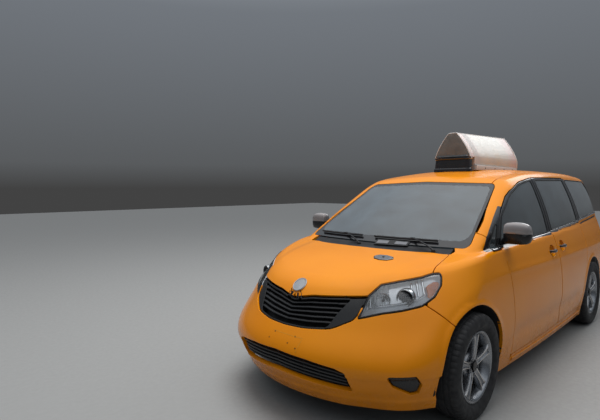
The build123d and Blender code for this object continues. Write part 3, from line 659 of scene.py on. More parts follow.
def left_turning(loop):
    return loop[::-1] if twice_area(loop) < 0 else loop


def build_mesh(name, verts, faces, corner_normals, material_ids, materials):
    mesh = bpy.data.meshes.new(name)
    mesh.from_pydata(verts.tolist(), [], faces)
    mesh.polygons.foreach_set("material_index", material_ids)
    for material in materials:
        mesh.materials.append(material)
    mesh.polygons.foreach_set("use_smooth", [True] * len(mesh.polygons))
    mesh.normals_split_custom_set(corner_normals.tolist())
    mesh.validate()
    obj = bpy.data.objects.new(name, mesh)
    bpy.context.collection.objects.link(obj)
    return obj


def sheet_mesh(chart, loops, gap, edge_r, wall, step, deep=None, lines=(), sink=0.0):
    """Arrays of a closed panel: outer skin, rounded edges, walls and inner skin.
    deep gives the step from an edge point to the inner skin, or None for straight in."""
    base = [inset(loop, gap + edge_r) for loop in loops]
    cuts = [chart.place(line[~np.isnan(line[:, 0])]) for line in lines]
    cuts = [dense_inside(cut, base) for cut in cuts]
    inner_points = grid_points(base, step)
    points = np.vstack(base + [inner_points] + [c for cut in cuts for c in cut])
    edges, total = [], 0
    for loop in base:
        edges += [(total + i, total + (i + 1) % len(loop)) for i in range(len(loop))]
        total += len(loop)
    total += len(inner_points)
    for cut in cuts:
        for part in cut:
            edges += [(total + i, total + i + 1) for i in range(len(part) - 1)]
            total += len(part)
    flat, faces = triangulate(points, edges)
    faces = np.array([f for f in faces if len(f) == 3])
    faces = faces[contains(base, flat[faces].mean(axis=1))]
    place = surface(chart, flat)
    bad = np.isnan(place[:, 0])
    faces = faces[~bad[faces].any(axis=1)]
    place[bad] = 0
    normal = normals_at(place)
    place = place - sink * normal
    verts, count = [place], len(place)
    quads, quad_normals = [], []
    bottoms = {}
    for loop in loops_of(faces.tolist()):
        ahead_3d = np.roll(place[loop], -1, axis=0) - np.roll(place[loop], 1, axis=0)
        ahead_3d /= np.maximum(np.linalg.norm(ahead_3d, axis=1), 1e-9)[:, None]
        outward = np.cross(ahead_3d, normal[loop]) * (-1 if chart.flip else 1)
        outward /= np.maximum(np.linalg.norm(outward, axis=1), 1e-9)[:, None]
        rows, row_normals = [np.array(loop)], [normal[loop]]
        for share in (0.5, 1.0):
            angle = share * math.pi / 2
            flatness = edge_r * math.sin(angle)
            p = place[loop] + flatness * outward - edge_r * (1 - math.cos(angle)) * normal[loop]
            verts.append(p)
            rows.append(np.arange(count, count + len(loop)))
            row_normals.append(math.cos(angle) * normal[loop] + math.sin(angle) * outward)
            count += len(loop)
        edge = verts[-1]
        inward = deep(edge) if deep else -wall * normal[loop]
        verts.append(edge + inward)
        rows.append(np.arange(count, count + len(loop)))
        row_normals.append(outward)
        count += len(loop)
        for k in range(len(rows) - 1):
            a, b = rows[k], rows[k + 1]
            na, nb = row_normals[k], row_normals[k + 1]
            for i in range(len(loop)):
                j = (i + 1) % len(loop)
                quads.append((a[j], a[i], b[i], b[j]))
                quad_normals.append((na[j], na[i], nb[i], nb[j]))
        for i, v in enumerate(loop):
            bottoms[v] = rows[-1][i]
    inner = place + (deep(place) if deep else -wall * normal)
    back = np.arange(len(place)) + count
    verts.append(inner)
    for v, b in bottoms.items():
        back[v] = b
    return {
        "verts": np.vstack(verts), "outer": faces, "inner": back[faces][:, ::-1], "quads": quads,
        "quad_normals": quad_normals, "normal": normal, "flip": chart.flip, "place": place,
    }


def dense_inside(cut, loops):
    """The stretches of a line that lie inside loops, clear of their edges."""
    inside = contains(loops, cut)
    for loop in loops:
        near = np.min(np.linalg.norm(cut[:, None] - loop[None], axis=2), axis=1) < 0.004
        inside &= ~near
    parts, run = [], []
    for q, ok in zip(cut, inside):
        if ok and (not run or np.linalg.norm(q - run[-1]) < 0.05):
            run.append(q)
            continue
        if len(run) > 1:
            parts.append(np.array(run))
        run = [q] if ok else []
    if len(run) > 1:
        parts.append(np.array(run))
    return parts


def panel(name, data, materials, paint=()):
    """A Blender object from panel arrays. Materials are outer, edge and inner, then painted zones."""
    verts = data["verts"]
    faces, ids, corners = [], [], []
    normal = data["normal"]
    outer = data["outer"]
    kinds = np.zeros(len(outer), int)
    middle = data["place"][outer].mean(axis=1)
    for index, test in paint:
        kinds[test(middle)] = index
    for f, kind in zip(outer, kinds):
        f = f[::-1] if data["flip"] else f
        faces.append(tuple(int(v) for v in f))
        corners += [normal[v] for v in f]
        ids.append(int(kind))
    quad_kinds = np.ones(len(data["quads"]), int)
    middle = verts[np.array(data["quads"])].mean(axis=1)
    for index, test in paint:
        quad_kinds[test(middle)] = index
    for x in (FRONT_AXLE, REAR_AXLE):
        quad_kinds[np.hypot(middle[:, 0] - x, middle[:, 2] - AXLE_Z) < ARCH_R + 0.0026] = 2
    for q, n, kind in zip(data["quads"], data["quad_normals"], quad_kinds):
        if data["flip"]:
            q, n = q[::-1], n[::-1]
        faces.append(tuple(int(v) for v in q))
        corners += list(n)
        ids.append(int(kind))
    for f, g in zip(data["inner"], outer[:, ::-1]):
        if data["flip"]:
            f, g = f[::-1], g[::-1]
        faces.append(tuple(int(v) for v in f))
        corners += [-normal[v] for v in g]
        ids.append(2)
    verts, faces = drop_unused(verts, faces)
    return build_mesh(name, verts, faces, np.array(corners), ids, materials)


def drop_unused(verts, faces):
    used = sorted({v for f in faces for v in f})
    new = {old: i for i, old in enumerate(used)}
    return verts[used], [tuple(new[v] for v in f) for f in faces]


def mirrored(obj, name):
    """A copy on the other side of the car."""
    mesh = obj.data.copy()
    mesh.name = name
    normals = np.empty(len(mesh.loops) * 3)
    mesh.corner_normals.foreach_get("vector", normals)
    normals = normals.reshape(-1, 3)
    starts = [(p.loop_start, p.loop_total) for p in mesh.polygons]
    mesh.transform(Matrix.Scale(-1, 4, (0, 1, 0)))
    mesh.flip_normals()
    order = np.concatenate([[s] + list(range(s + n - 1, s, -1)) for s, n in starts])
    mesh.normals_split_custom_set((normals[order] * [1, -1, 1]).tolist())
    copy = bpy.data.objects.new(name, mesh)
    bpy.context.collection.objects.link(copy)
    return copy


# Materials
class Nodes:
    """A material's node tree with short names for the links that are used again."""

    def __init__(self, name, color=(0.5, 0.5, 0.5), **values):
        self.material = bpy.data.materials.new(name)
        self.material.use_nodes = True
        self.tree = self.material.node_tree
        self.shader = self.tree.nodes["Principled BSDF"]
        self.set("Base Color", (*color, 1.0))
        for key, value in values.items():
            self.set(key.replace("_", " "), value)
        self.coordinates = self.node("ShaderNodeTexCoord").outputs["Object"]

    def set(self, socket, value):
        self.shader.inputs[socket].default_value = value

    def node(self, kind, **settings):
        node = self.tree.nodes.new(kind)
        for key, value in settings.items():
            setattr(node, key, value)
        return node

    def link(self, a, b):
        self.tree.links.new(a, b)

    def noise(self, scale, detail=3.0, rough=0.5, stretch=(1, 1, 1)):
        mapping = self.node("ShaderNodeMapping")
        mapping.inputs["Scale"].default_value = stretch
        self.link(self.coordinates, mapping.inputs["Vector"])
        node = self.node("ShaderNodeTexNoise")
        node.inputs["Scale"].default_value = scale
        node.inputs["Detail"].default_value = detail
        node.inputs["Roughness"].default_value = rough
        self.link(mapping.outputs["Vector"], node.inputs["Vector"])
        return node.outputs["Fac"]

    def ramp(self, value, low, high, start, end):
        node = self.node("ShaderNodeMapRange")
        for socket, number in zip(("From Min", "From Max", "To Min", "To Max"), (low, high, start, end)):
            node.inputs[socket].default_value = number
        self.link(value, node.inputs["Value"])
        return node.outputs["Result"]

    def math(self, kind, a, b):
        node = self.node("ShaderNodeMath", operation=kind)
        for socket, value in zip(node.inputs, (a, b)):
            if isinstance(value, (int, float)):
                socket.default_value = value
            else:
                self.link(value, socket)
        return node.outputs["Value"]

    def mix(self, share, a, b):
        node = self.node("ShaderNodeMix", data_type="RGBA")
        self.link(share, node.inputs["Factor"])
        for socket, value in ((node.inputs["A"], a), (node.inputs["B"], b)):
            if isinstance(value, tuple):
                socket.default_value = (*value, 1.0)
            else:
                self.link(value, socket)
        return node.outputs["Result"]

    def color(self, value):
        self.link(value, self.shader.inputs["Base Color"])

    def roughness(self, value):
        self.link(value, self.shader.inputs["Roughness"])

    def height(self, axis="Z"):
        split = self.node("ShaderNodeSeparateXYZ")
        self.link(self.coordinates, split.inputs["Vector"])
        return split.outputs[axis]

    def bump(self, value, distance, strength=1.0):
        node = self.node("ShaderNodeBump")
        node.inputs["Distance"].default_value = distance
        node.inputs["Strength"].default_value = strength
        self.link(value, node.inputs["Height"])
        self.link(node.outputs["Normal"], self.shader.inputs["Normal"])


def taxi_paint():
    """Glossy enamel: slight orange peel, and towards the bottom darker, rougher patches that are partly
    dust and partly painted shade.
    """
    m = Nodes("taxi_paint", Roughness=0.22, Coat_Weight=0.22, Coat_Roughness=0.035, Specular_IOR_Level=0.32,
              IOR=1.4)
    tone = m.noise(2.2, 2.0)
    base = m.mix(m.ramp(tone, 0.3, 0.7, 0.0, 1.0), (0.70, 0.222, 0.001), (0.73, 0.242, 0.001))
    # Patchy mask that grows towards the bottom: partly dust, partly painted shade
    dust_and_shade = m.math("MULTIPLY", m.ramp(m.height(), 0.55, 0.15, 0.0, 1.0),
                   m.ramp(m.noise(9.0, 5.0, 0.65), 0.42, 0.75, 0.0, 1.0))
    # Darker low down, towards a deep brown-orange: partly dust, partly painted shade
    base = m.mix(m.math("MULTIPLY", dust_and_shade, 0.25), base, (0.16, 0.070, 0.02))
    m.color(base)
    m.roughness(m.math("ADD", m.ramp(m.noise(30.0, 4.0), 0.3, 0.7, 0.18, 0.26),
                       m.math("MULTIPLY", dust_and_shade, 0.25)))
    m.bump(m.noise(240.0, 1.0), 0.00025, 0.12)
    return m.material


def gloss_black():
    m = Nodes("gloss_black", (0.012, 0.012, 0.014), Roughness=0.10, Coat_Weight=0.6, Coat_Roughness=0.05)
    m.roughness(m.ramp(m.noise(18.0, 4.0), 0.3, 0.7, 0.07, 0.20))
    m.bump(m.noise(180.0, 1.0), 0.0002, 0.1)
    return m.material


def grained_black(name="grained_black", color=(0.011, 0.011, 0.012), roughness=0.5):
    m = Nodes(name, color, Roughness=roughness)
    m.color(m.mix(m.ramp(m.noise(14.0, 5.0, 0.6), 0.35, 0.75, 0.0, 1.0), color,
                  tuple(1.7 * c + 0.004 for c in color)))
    cells = m.node("ShaderNodeTexVoronoi")
    cells.inputs["Scale"].default_value = 900.0
    m.link(m.coordinates, cells.inputs["Vector"])
    m.bump(cells.outputs["Distance"], 0.0003, 0.35)
    return m.material


def window_tint(name, color, strength=0.86, shine=2.4):
    """Thin tinted glass with a light film of dust, its reflection raised by the shine."""
    m = Nodes(name, color, Roughness=0.02, IOR=1.5)
    clear = m.node("ShaderNodeBsdfTransparent")
    clear.inputs["Color"].default_value = (*color, 1.0)
    gloss = m.node("ShaderNodeBsdfGlossy")
    gloss.inputs["Roughness"].default_value = 0.01
    gloss.inputs["Color"].default_value = (1.0, 1.0, 1.0, 1.0)
    fresnel = m.node("ShaderNodeFresnel")
    fresnel.inputs["IOR"].default_value = 1.55
    mix = m.node("ShaderNodeMixShader")
    m.link(m.ramp(fresnel.outputs["Fac"], 0.0, 1.0 / shine, 0.0, 1.0), mix.inputs["Fac"])
    m.link(clear.outputs["BSDF"], mix.inputs[1])
    m.link(gloss.outputs["BSDF"], mix.inputs[2])
    film = m.node("ShaderNodeBsdfDiffuse")
    film.inputs["Color"].default_value = (0.42, 0.52, 0.57, 1.0)
    dusty = m.node("ShaderNodeMixShader")
    m.link(m.ramp(m.noise(5.0, 5.0, 0.6), 0.35, 0.8, (1 - strength) * 0.25, (1 - strength)),
           dusty.inputs["Fac"])
    m.link(mix.outputs["Shader"], dusty.inputs[1])
    m.link(film.outputs["BSDF"], dusty.inputs[2])
    output = m.tree.nodes["Material Output"]
    m.link(dusty.outputs["Shader"], output.inputs["Surface"])
    return m.material


def plain(name, color, roughness, metallic=0.0, grain=60.0, depth=0.0004, shade=0.75, **more):
    """Even finish with a mottled tone and a fine bump."""
    m = Nodes(name, color, Metallic=metallic, **more)
    m.color(m.mix(m.ramp(m.noise(11.0, 5.0, 0.6), 0.35, 0.7, 0.0, 1.0), color,
                  tuple(shade * c for c in color)))
    m.roughness(m.ramp(m.noise(26.0, 4.0), 0.3, 0.7, roughness * 0.8, min(1.0, roughness * 1.25)))
    m.bump(m.noise(grain, 3.0), depth, 0.4)
    return m.material


def faded_print():
    """A sun bleached display sheet: cream in the middle, pinkish at its ends, with soft blotches."""
    m = Nodes("faded_print", Roughness=0.38, Coat_Weight=0.3, Coat_Roughness=0.15)
    along = m.height("X")
    ends = m.math("MAXIMUM", m.ramp(along, -0.22, 0.0, 0.0, 1.0), m.ramp(along, -0.85, -1.12, 0.0, 1.0))
    base = m.mix(m.math("MULTIPLY", ends, 0.8), (0.66, 0.64, 0.59), (0.62, 0.42, 0.42))
    stain = m.ramp(m.noise(7.0, 5.0, 0.6, (1.0, 1.0, 2.2)), 0.45, 0.72, 0.0, 0.55)
    base = m.mix(stain, base, (0.50, 0.52, 0.49))
    warm = m.ramp(m.noise(4.0, 3.0, 0.5, (2.0, 1.0, 1.0)), 0.52, 0.75, 0.0, 0.35)
    m.color(m.mix(warm, base, (0.66, 0.58, 0.40)))
    m.roughness(m.ramp(m.noise(20.0, 4.0), 0.3, 0.7, 0.32, 0.46))
    m.bump(m.noise(40.0, 2.0), 0.0006, 0.3)
    return m.material


PAINT = taxi_paint()
BLACK = gloss_black()
PLASTIC = grained_black()
TRIM = grained_black("cabin_trim", (0.085, 0.082, 0.078), 0.62)
GLASS = window_tint("side_window", (0.34, 0.42, 0.42))
SCREEN = window_tint("windscreen", (0.50, 0.64, 0.72), 0.93)
CHROME = plain("chrome", (0.78, 0.79, 0.80), 0.12, 1.0, 120.0, 0.0001, 0.9)
STEEL = plain("dark_steel", (0.10, 0.10, 0.105), 0.55, 0.6, 90.0, 0.0008, 0.6)
UNDERSEAL = plain("underseal", (0.018, 0.018, 0.019), 0.85, 0.0, 70.0, 0.0015, 0.6)
ALLOY = plain("alloy", (0.30, 0.31, 0.33), 0.25, 0.9, 160.0, 0.0002, 0.8)
RUBBER = plain("tyre_rubber", (0.010, 0.010, 0.011), 0.75, 0.0, 130.0, 0.0005, 1.6)
RED_LENS = plain("red_lens", (0.35, 0.012, 0.010), 0.12, 0.0, 90.0, 0.0002, 0.8)
PALE = plain("topper_panel", (0.58, 0.55, 0.53), 0.45, 0.0, 60.0, 0.0004, 0.93)
SMOOTH_BLACK = plain("smooth_black", (0.009, 0.009, 0.010), 0.28, 0.0, 150.0, 0.0001, 0.7, IOR=1.5)
# Near-black matte material that is painted shade: it fills the grille openings and the screw holes, where
# shade falls
SHADE_FILL = plain("painted_recess_shade", (0.006, 0.006, 0.006), 0.8, 0.0, 90.0, 0.0006, 0.6)
SEAL = plain("window_seal", (0.012, 0.012, 0.012), 0.55, 0.0, 200.0, 0.0002, 0.7)
GREY_GLOSS = plain("grey_gloss_cap", (0.30, 0.28, 0.28), 0.12, 0.2, 150.0, 0.0001, 0.85, Coat_Weight=0.6)
BRIGHT = plain("satin_bright_trim", (0.62, 0.62, 0.63), 0.22, 1.0, 200.0, 0.0001, 0.85)
REFLECTOR = plain("reflector", (0.95, 0.96, 0.98), 0.16, 0.35, 60.0, 0.0006, 0.8)
DARK_LENS = plain("dark_lens", (0.015, 0.018, 0.022), 0.05, 0.0, 40.0, 0.0002, 0.7, Coat_Weight=1.0)
AMBER = plain("amber_lens", (0.95, 0.22, 0.01), 0.25, 0.0, 300.0, 0.0015, 0.75, Coat_Weight=0.6)
AMBER_RED = plain("amber_red_lens", (0.85, 0.09, 0.02), 0.2, 0.0, 300.0, 0.0010, 0.75, Coat_Weight=0.6)
BRIGHT_ALLOY = plain("machined_alloy", (0.62, 0.60, 0.58), 0.18, 1.0, 220.0, 0.0001, 0.75)
DISC = plain("brake_disc", (0.34, 0.31, 0.29), 0.38, 0.9, 60.0, 0.0003, 0.6)
GREY_METAL = plain("brushed_grey_metal", (0.26, 0.235, 0.21), 0.42, 0.6, 140.0, 0.0003, 0.72)
PALE_GREY = plain("pale_grey_label", (0.17, 0.175, 0.19), 0.5, 0.0, 80.0, 0.0002, 0.85)
WORN_PAINT = plain("worn_paint", (0.62, 0.27, 0.01), 0.35, 0.0, 120.0, 0.0002, 0.8)
LENS_WHITE = plain("clear_bar", (0.75, 0.70, 0.68), 0.12, 0.0, 200.0, 0.0004, 0.85)
LENS = window_tint("lamp_lens", (0.97, 0.98, 0.99), 0.99, 1.0)
FADED_PRINT = faded_print()


# Mesh pieces built from rings
class Parts:
    """Lofts and turned forms gathered into one mesh."""

    def __init__(self):
        self.verts, self.faces, self.ids = [], [], []

    def add(self, verts, faces, material=0):
        start = sum(len(v) for v in self.verts)
        self.verts.append(np.asarray(verts, float))
        self.faces += [tuple(int(i) + start for i in f) for f in faces]
        self.ids += [material] * len(faces)

    def loft(self, rings, material=0, closed=True, caps=True, bands=None):
        """Quads between rings of equal count. Bands give each column of quads its material."""
        n = len(rings[0])
        for i in range(n if closed else n - 1):
            j = (i + 1) % n
            faces = [(2 * k, 2 * k + 1, 2 * k + 3, 2 * k + 2) for k in range(len(rings) - 1)]
            verts = [ring[m] for ring in rings for m in (i, j)]
            self.add(verts, faces, bands[i] if bands else material)
        if caps:
            for ring in (rings[0], rings[-1]):
                self.add(ring, [tuple(range(n))], material)

    def spin(self, profile, centre, axis, material=0, count=48, loop=True, wave=None):
        """Turn a profile of (height along the axis, radius); wave changes the radii with the angle."""
        axis = unit(np.array(axis, float))
        side = unit(np.cross([0.0, 0.0, 1.0] if abs(axis[2]) < 0.9 else [1.0, 0.0, 0.0], axis))
        up = np.cross(axis, side)
        angle = np.linspace(0, 2 * math.pi, count, endpoint=False)
        around = np.cos(angle)[:, None] * side + np.sin(angle)[:, None] * up
        rings = []
        for height, radius in profile + (profile[:1] if loop else []):
            r = radius + wave(height, radius, np.arange(count)) if wave else np.full(count, radius)
            rings.append(np.array(centre) + height * axis + r[:, None] * around)
        self.loft(rings, material, caps=not loop)

    def plate(self, outline, thickness, out, material=0, edge=0.001):
        """A flat closed outline given thickness behind it, with a small rounded front edge."""
        outline, out = np.asarray(outline, float), np.asarray(out, float)
        middle = outline.mean(axis=0)
        share = edge / np.linalg.norm(outline - middle, axis=1)
        smaller = outline + (middle - outline) * share[:, None]
        self.loft([outline - thickness * out, outline - edge * out, smaller], material)

    def build(self, name, materials, body="body", nodes=(), angle=0.7, flip=False):
        verts = np.vstack(self.verts)
        if flip:
            verts = verts * [1, -1, 1]
        mesh = bpy.data.meshes.new(name)
        mesh.from_pydata(verts.tolist(), [], self.faces)
        mesh.polygons.foreach_set("material_index", self.ids)
        for material in materials:
            mesh.materials.append(material)
        tidy = bmesh.new()
        tidy.from_mesh(mesh)
        bmesh.ops.remove_doubles(tidy, verts=tidy.verts, dist=1e-6)
        bmesh.ops.recalc_face_normals(tidy, faces=tidy.faces)
        tidy.to_mesh(mesh)
        tidy.free()
        mesh.shade_smooth()
        mesh.set_sharp_from_angle(angle=angle)
        obj = bpy.data.objects.new(name, mesh)
        bpy.context.collection.objects.link(obj)
        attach(obj, body)
        if nodes:
            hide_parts(*nodes)
        return obj


def on_surface(view, points, sink=0.0):
    place = view.lift(np.asarray(points, float))
    return place - sink * normals_at(place)


def swept(path, normal, section, closed=False):
    """Rings of a section of (across, out) pairs carried along a path on a surface."""
    ahead = np.roll(path, -1, axis=0) - np.roll(path, 1, axis=0) if closed else np.gradient(path, axis=0)
    across = np.cross(ahead, normal)
    across /= np.linalg.norm(across, axis=1)[:, None]
    rings = [np.array([p + a * c + b * n for a, b in section]) for p, c, n in zip(path, across, normal)]
    return rings + rings[:1] if closed else rings


def carried(parts, place, section):
    """A section carried along points of the body's surface."""
    parts.loft(swept(place, normals_at(place), section))


def half_round(width, height, foot=0.003):
    shape = [(-0.5, -foot / height), (-0.5, 0.45), (-0.4, 0.8), (-0.2, 1.0), (0.2, 1.0), (0.4, 0.8),
             (0.5, 0.45), (0.5, -foot / height)]
    return [(width * a, height * b) for a, b in shape]


def oval(centre, a, b, half_a, half_b, power=2.0, count=32):
    """A closed ring between an ellipse and a rectangle, in the plane of two unit vectors."""
    t = np.linspace(0, 2 * math.pi, count, endpoint=False)
    ca, sa = np.cos(t), np.sin(t)
    u = np.sign(ca) * np.abs(ca) ** (2 / power) * half_a
    v = np.sign(sa) * np.abs(sa) ** (2 / power) * half_b
    return np.array(centre) + u[:, None] * np.array(a, float) + v[:, None] * np.array(b, float)


def flat_ring(zone, amount):
    """A zone's outline moved inwards in its own view."""
    return inset(left_turning(dense(zone.points)), amount)


def rim_strip(parts, zone, amount, width, height, material=0, sink=0.0):
    """A moulding that runs round a zone on the surface."""
    path = zone.view.lift(flat_ring(zone, amount))
    path = path[~np.isnan(path[:, 0])]
    normal = normals_at(path)
    parts.loft(swept(path - sink * normal, normal, half_round(width, height), True), material, caps=False)


X, Y, Z = np.eye(3)


# Body panels
def has(*names):
    """Test for points in every named zone, a name with a minus sign is kept out."""

    def test(p):
        ok = np.ones(len(p), bool)
        for name in names:
            ok &= ~zones[name[1:]].has(p) if name[0] == "-" else zones[name].has(p)
        return ok

    return test


def lines_of(*names):
    return [zones[name].line() for name in names]


def shut_wall(depth):
    """Slanted step into a side door's thickness."""

    def deep(p):
        low = 1 - smooth_step(p[:, 2], 1.00, 1.12)
        t = depth[1] + (depth[0] - depth[1]) * low
        return t[:, None] * np.array([DOOR_SLANT, -1.0, 0.0])

    return deep


def straight_wall(depth):
    """Step across the car, as thick as the wall is at that height."""

    def deep(p):
        low = 1 - smooth_step(p[:, 2], 1.00, 1.12)
        t = depth[1] + (depth[0] - depth[1]) * low
        inward = normals_at(p) * [-1.0, -1.0, 0.0]
        inward /= np.maximum(np.linalg.norm(inward, axis=1), 1e-6)[:, None]
        return t[:, None] * inward

    return deep


def build_panel(name, chart, cuts, keep, low, high, materials, node=None, body="body", paint=(), step=0.022,
                gap=SHUT_GAP, edge_r=0.003, wall=0.02, deep=None, lines=(), sink=0.0, twin=None):
    loops = region(chart, cuts, keep, low, high)
    data = sheet_mesh(chart, loops, gap, edge_r, wall, step, deep, lines, sink)
    obj = panel(name, data, materials, paint)
    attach(obj, body)
    if node:
        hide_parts(node)
    if twin:
        other = mirrored(obj, twin[0])
        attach(other, twin[1])
        if len(twin) > 2:
            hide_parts(twin[2])


def both_sides(*names):
    return [n for name in names for n in (name, name + "_right")]


def level_line(chart, v, low, high, step=0.012):
    """The surface along one row of a chart."""
    u = np.arange(low, high, step)
    return surface(chart, np.column_stack([u, np.full(len(u), v)]))


build_panel(
    "hood_skin", TOP, lines_of("hood", "hood_edge", *both_sides("headlamp")),
    lambda p: has("hood", "hood_edge", "-headlamp", "-headlamp_right")(p) & (p[:, 2] > 0.74),
    (1.3, -0.95), (2.5, 0.95), [PAINT, PAINT, PLASTIC], "hood", "hood_lid", wall=0.018,
)
build_panel(
    "bumper_skin", NOSE,
    lines_of("hood", "hood_edge", "grille", "lower_grille",
             *both_sides("headlamp", "bumper", "fog_cover", "front_arch"))
    + [level_line(NOSE, SILL_Z, 1.2, 5.2)],
    lambda p: (zones["bumper"].has(p) | zones["bumper_right"].has(p))
    & ~(has("hood", "hood_edge")(p))
    & has("-grille", "-lower_grille", "-headlamp", "-headlamp_right", "-fog_cover", "-fog_cover_right",
          "-front_arch", "-front_arch_right")(p) & (p[:, 2] > ABOVE_SILL) & (p[:, 0] > 1.6)
    & ~((np.abs(p[:, 1]) < 0.50) & (p[:, 2] > 0.79) & (p[:, 0] > 2.2))
    & ~((np.abs(p[:, 1]) < 0.30) & (p[:, 2] > 0.72)),
    (1.2, 0.16), (5.2, 1.0), [PAINT, PAINT, PLASTIC], "front_bumper", wall=0.03,
)
build_panel(
    "fender_left", FENDER, lines_of("hood", "headlamp", "bumper", "front_arch", "fender", "windshield",
                                    "quarter_window"),
    lambda p: has("fender", "-headlamp", "-bumper", "-front_arch", "-windshield")(p)
    & ~has("hood")(p) & (p[:, 0] < 2.3) & ~((p[:, 1] < 0.674) & (p[:, 2] > 0.85)),
    (0.85, 0.17), (2.35, 1.5), [PAINT, PAINT, PLASTIC, BLACK], "front_fenders", wall=0.02,
    lines=[zones["black_front"].line()], paint=[(3, zones["black_front"].has)],
    twin=("fender_right", "body"),
)
roof_sides = [np.array([(x, s * ROOF_HALF_W, 1.6) for x in np.arange(-2.6, 1.4, 0.03)]) for s in (1, -1)]
build_panel(
    "roof_skin", TOP, lines_of("windshield", "tailgate") + roof_sides,
    lambda p: (np.abs(p[:, 1]) < ROOF_HALF_W) & has("-windshield")(p) & (p[:, 2] > 1.3)
    & ~(has("tailgate")(p) & (p[:, 0] < GATE_TOP_X)) & (p[:, 0] > GATE_TOP_X),
    (-2.3, -0.75), (1.2, 0.75), [PAINT, PAINT, TRIM], "roof_panel", wall=0.026,
)
zones["handle_front"] = Zone(SIDE, oval((0.0, 0.976), (1, 0), (0, 1), 0.066, 0.048, 2.2, 40))
zones["handle_sliding"] = Zone(SIDE, oval((-0.310, 0.995), (1, 0), (0, 1), 0.066, 0.048, 2.2, 40))
build_panel(
    "front_door_skin", FLANK, lines_of("front_door", "front_window", "handle_front"),
    has("front_door", "-front_window", "-handle_front"), (-0.3, 0.2), (1.15, 1.75),
    [PAINT, PAINT, TRIM, BLACK], "front_door_left", "door_left", deep=shut_wall((0.078, 0.036)),
    paint=[(3, lambda p: p[:, 2] > 1.112 - 0.026 * p[:, 0])],
    twin=("front_door_skin_right", "door_right", "front_door_right"),
)
build_panel(
    "sliding_door_skin", FLANK, lines_of("sliding_door", "sliding_window", "handle_sliding"),
    has("sliding_door", "-sliding_window", "-handle_sliding"), (-1.35, 0.2), (0.0, 1.75),
    [PAINT, PAINT, TRIM, BLACK], "sliding_door_left", "body", deep=shut_wall((0.078, 0.036)),
    paint=[(3, lambda p: p[:, 2] > 1.118 - 0.036 * p[:, 0])],
    twin=("sliding_door_skin_right", "body", "sliding_door_right"),
)
build_panel(
    "body_side_skin", FLANK,
    lines_of("front_door", "sliding_door", "quarter_window", "rear_window", "windshield", "tailgate",
             "tail_lamp", "rear_bumper", "rear_arch", "body_front", "post")
    + [level_line(FLANK, SILL_Z, -3.5, 1.2)]
    + [cast(np.column_stack([np.arange(-2.4, 1.0, 0.02), np.full(170, ROOF_HALF_W), np.zeros(170)]),
            np.tile([0.0, 0.0, 1.0], (170, 1)))],
    lambda p: has("-front_door", "-sliding_door", "-quarter_window", "-rear_window", "-windshield",
                  "-tail_lamp", "-rear_bumper", "-rear_arch", "-body_front", "-post")(p)
    & ~((p[:, 1] < ROOF_HALF_W) & (p[:, 2] > 1.3)) & ~(has("tailgate")(p) & (p[:, 0] < GATE_TOP_X))
    & (p[:, 2] > ABOVE_SILL) & (p[:, 0] < 1.2) & (p[:, 1] > 0.5) & ~((p[:, 0] > 0.93) & (p[:, 2] < 1.0)),
    (-3.5, 0.16), (1.3, 1.9), [PAINT, PAINT, TRIM, BLACK], "body_side_left", "body",
    deep=straight_wall((0.10, 0.06)),
    lines=[zones["black_front"].line(), zones["black_rear"].line()],
    paint=[(3, lambda p: zones["black_front"].has(p) | zones["black_rear"].has(p))],
    twin=("body_side_skin_right", "body", "body_side_right"),
)
build_panel(
    "tailgate_skin", STERN, lines_of("tailgate", "tailgate_window", "tail_lamp", "tail_lamp_right")
    + [np.array([(GATE_TOP_X, y, 1.7) for y in np.arange(-0.7, 0.7, 0.02)])],
    lambda p: has("tailgate", "-tailgate_window", "-tail_lamp", "-tail_lamp_right")(p)
    & (p[:, 0] < GATE_TOP_X),
    (-4.5, 0.5), (-1.5, 1.9), [PAINT, PAINT, TRIM], "tailgate", "tailgate_lid", wall=0.05,
)
build_panel(
    "rear_bumper_skin", STERN,
    lines_of(*both_sides("rear_bumper", "rear_arch")) + [level_line(STERN, SILL_Z, -4.6, -1.3)],
    lambda p: (zones["rear_bumper"].has(p) | zones["rear_bumper_right"].has(p))
    & has("-rear_arch", "-rear_arch_right")(p) & (p[:, 2] > ABOVE_SILL),
    (-4.9, 0.16), (-1.2, 0.8), [PAINT, PAINT, PLASTIC], "rear_bumper", "body", wall=0.03,
)

# Glass, let in a little behind the skin
PANE = {"gap": 0.001, "edge_r": 0.001, "wall": 0.004, "sink": 0.003}
build_panel(
    "windshield_pane", TOP, lines_of("windshield"), lambda p: has("windshield")(p) & (p[:, 0] > 0.4),
    (0.3, -0.9), (1.7, 0.9), [SCREEN, SCREEN, SCREEN, BLACK], "windshield", **PANE,
    lines=[zones["clear_view"].line()], paint=[(3, has("-clear_view"))],
)
for pane in ("front", "sliding", "quarter", "rear"):
    zone = pane + "_window"
    left, right = ("body", "side_glass"), ("body", "side_glass")
    if pane == "front":
        left, right = ("door_left", "front_door_glass_left"), ("door_right", "front_door_glass_right")
    build_panel(
        pane + "_pane_left", FLANK, lines_of(zone), has(zone), (-3.0, 1.0), (1.3, 1.8), [GLASS] * 3,
        left[1], left[0], **PANE, twin=(pane + "_pane_right", *right),
    )
build_panel(
    "tailgate_pane", STERN, lines_of("tailgate_window"), has("tailgate_window"), (-4.0, 1.1), (-1.5, 1.9),
    [GLASS] * 3, "tailgate_glass", "tailgate_lid", **PANE,
)

# Upper and lower grille, fog covers
GRILLE_TOP = [(0.0, 0.788), (0.15, 0.815), (0.405, 0.834)]
GRILLE_FOOT = [(0.0, 0.646), (0.17, 0.650), (0.299, 0.661)]
GRILLE_END = [(0.405, 0.834), (0.371, 0.786), (0.349, 0.743), (0.333, 0.704), (0.322, 0.680),
              (0.299, 0.661)]
half = GRILLE_TOP[1:] + GRILLE_END[1:] + GRILLE_FOOT[1:2]
zones["grille_window"] = Zone(FRONT, symmetric(GRILLE_TOP[0], half, GRILLE_FOOT[0]), 0.004)


def between(table, y):
    return np.interp(np.abs(y), *np.array(table).T)


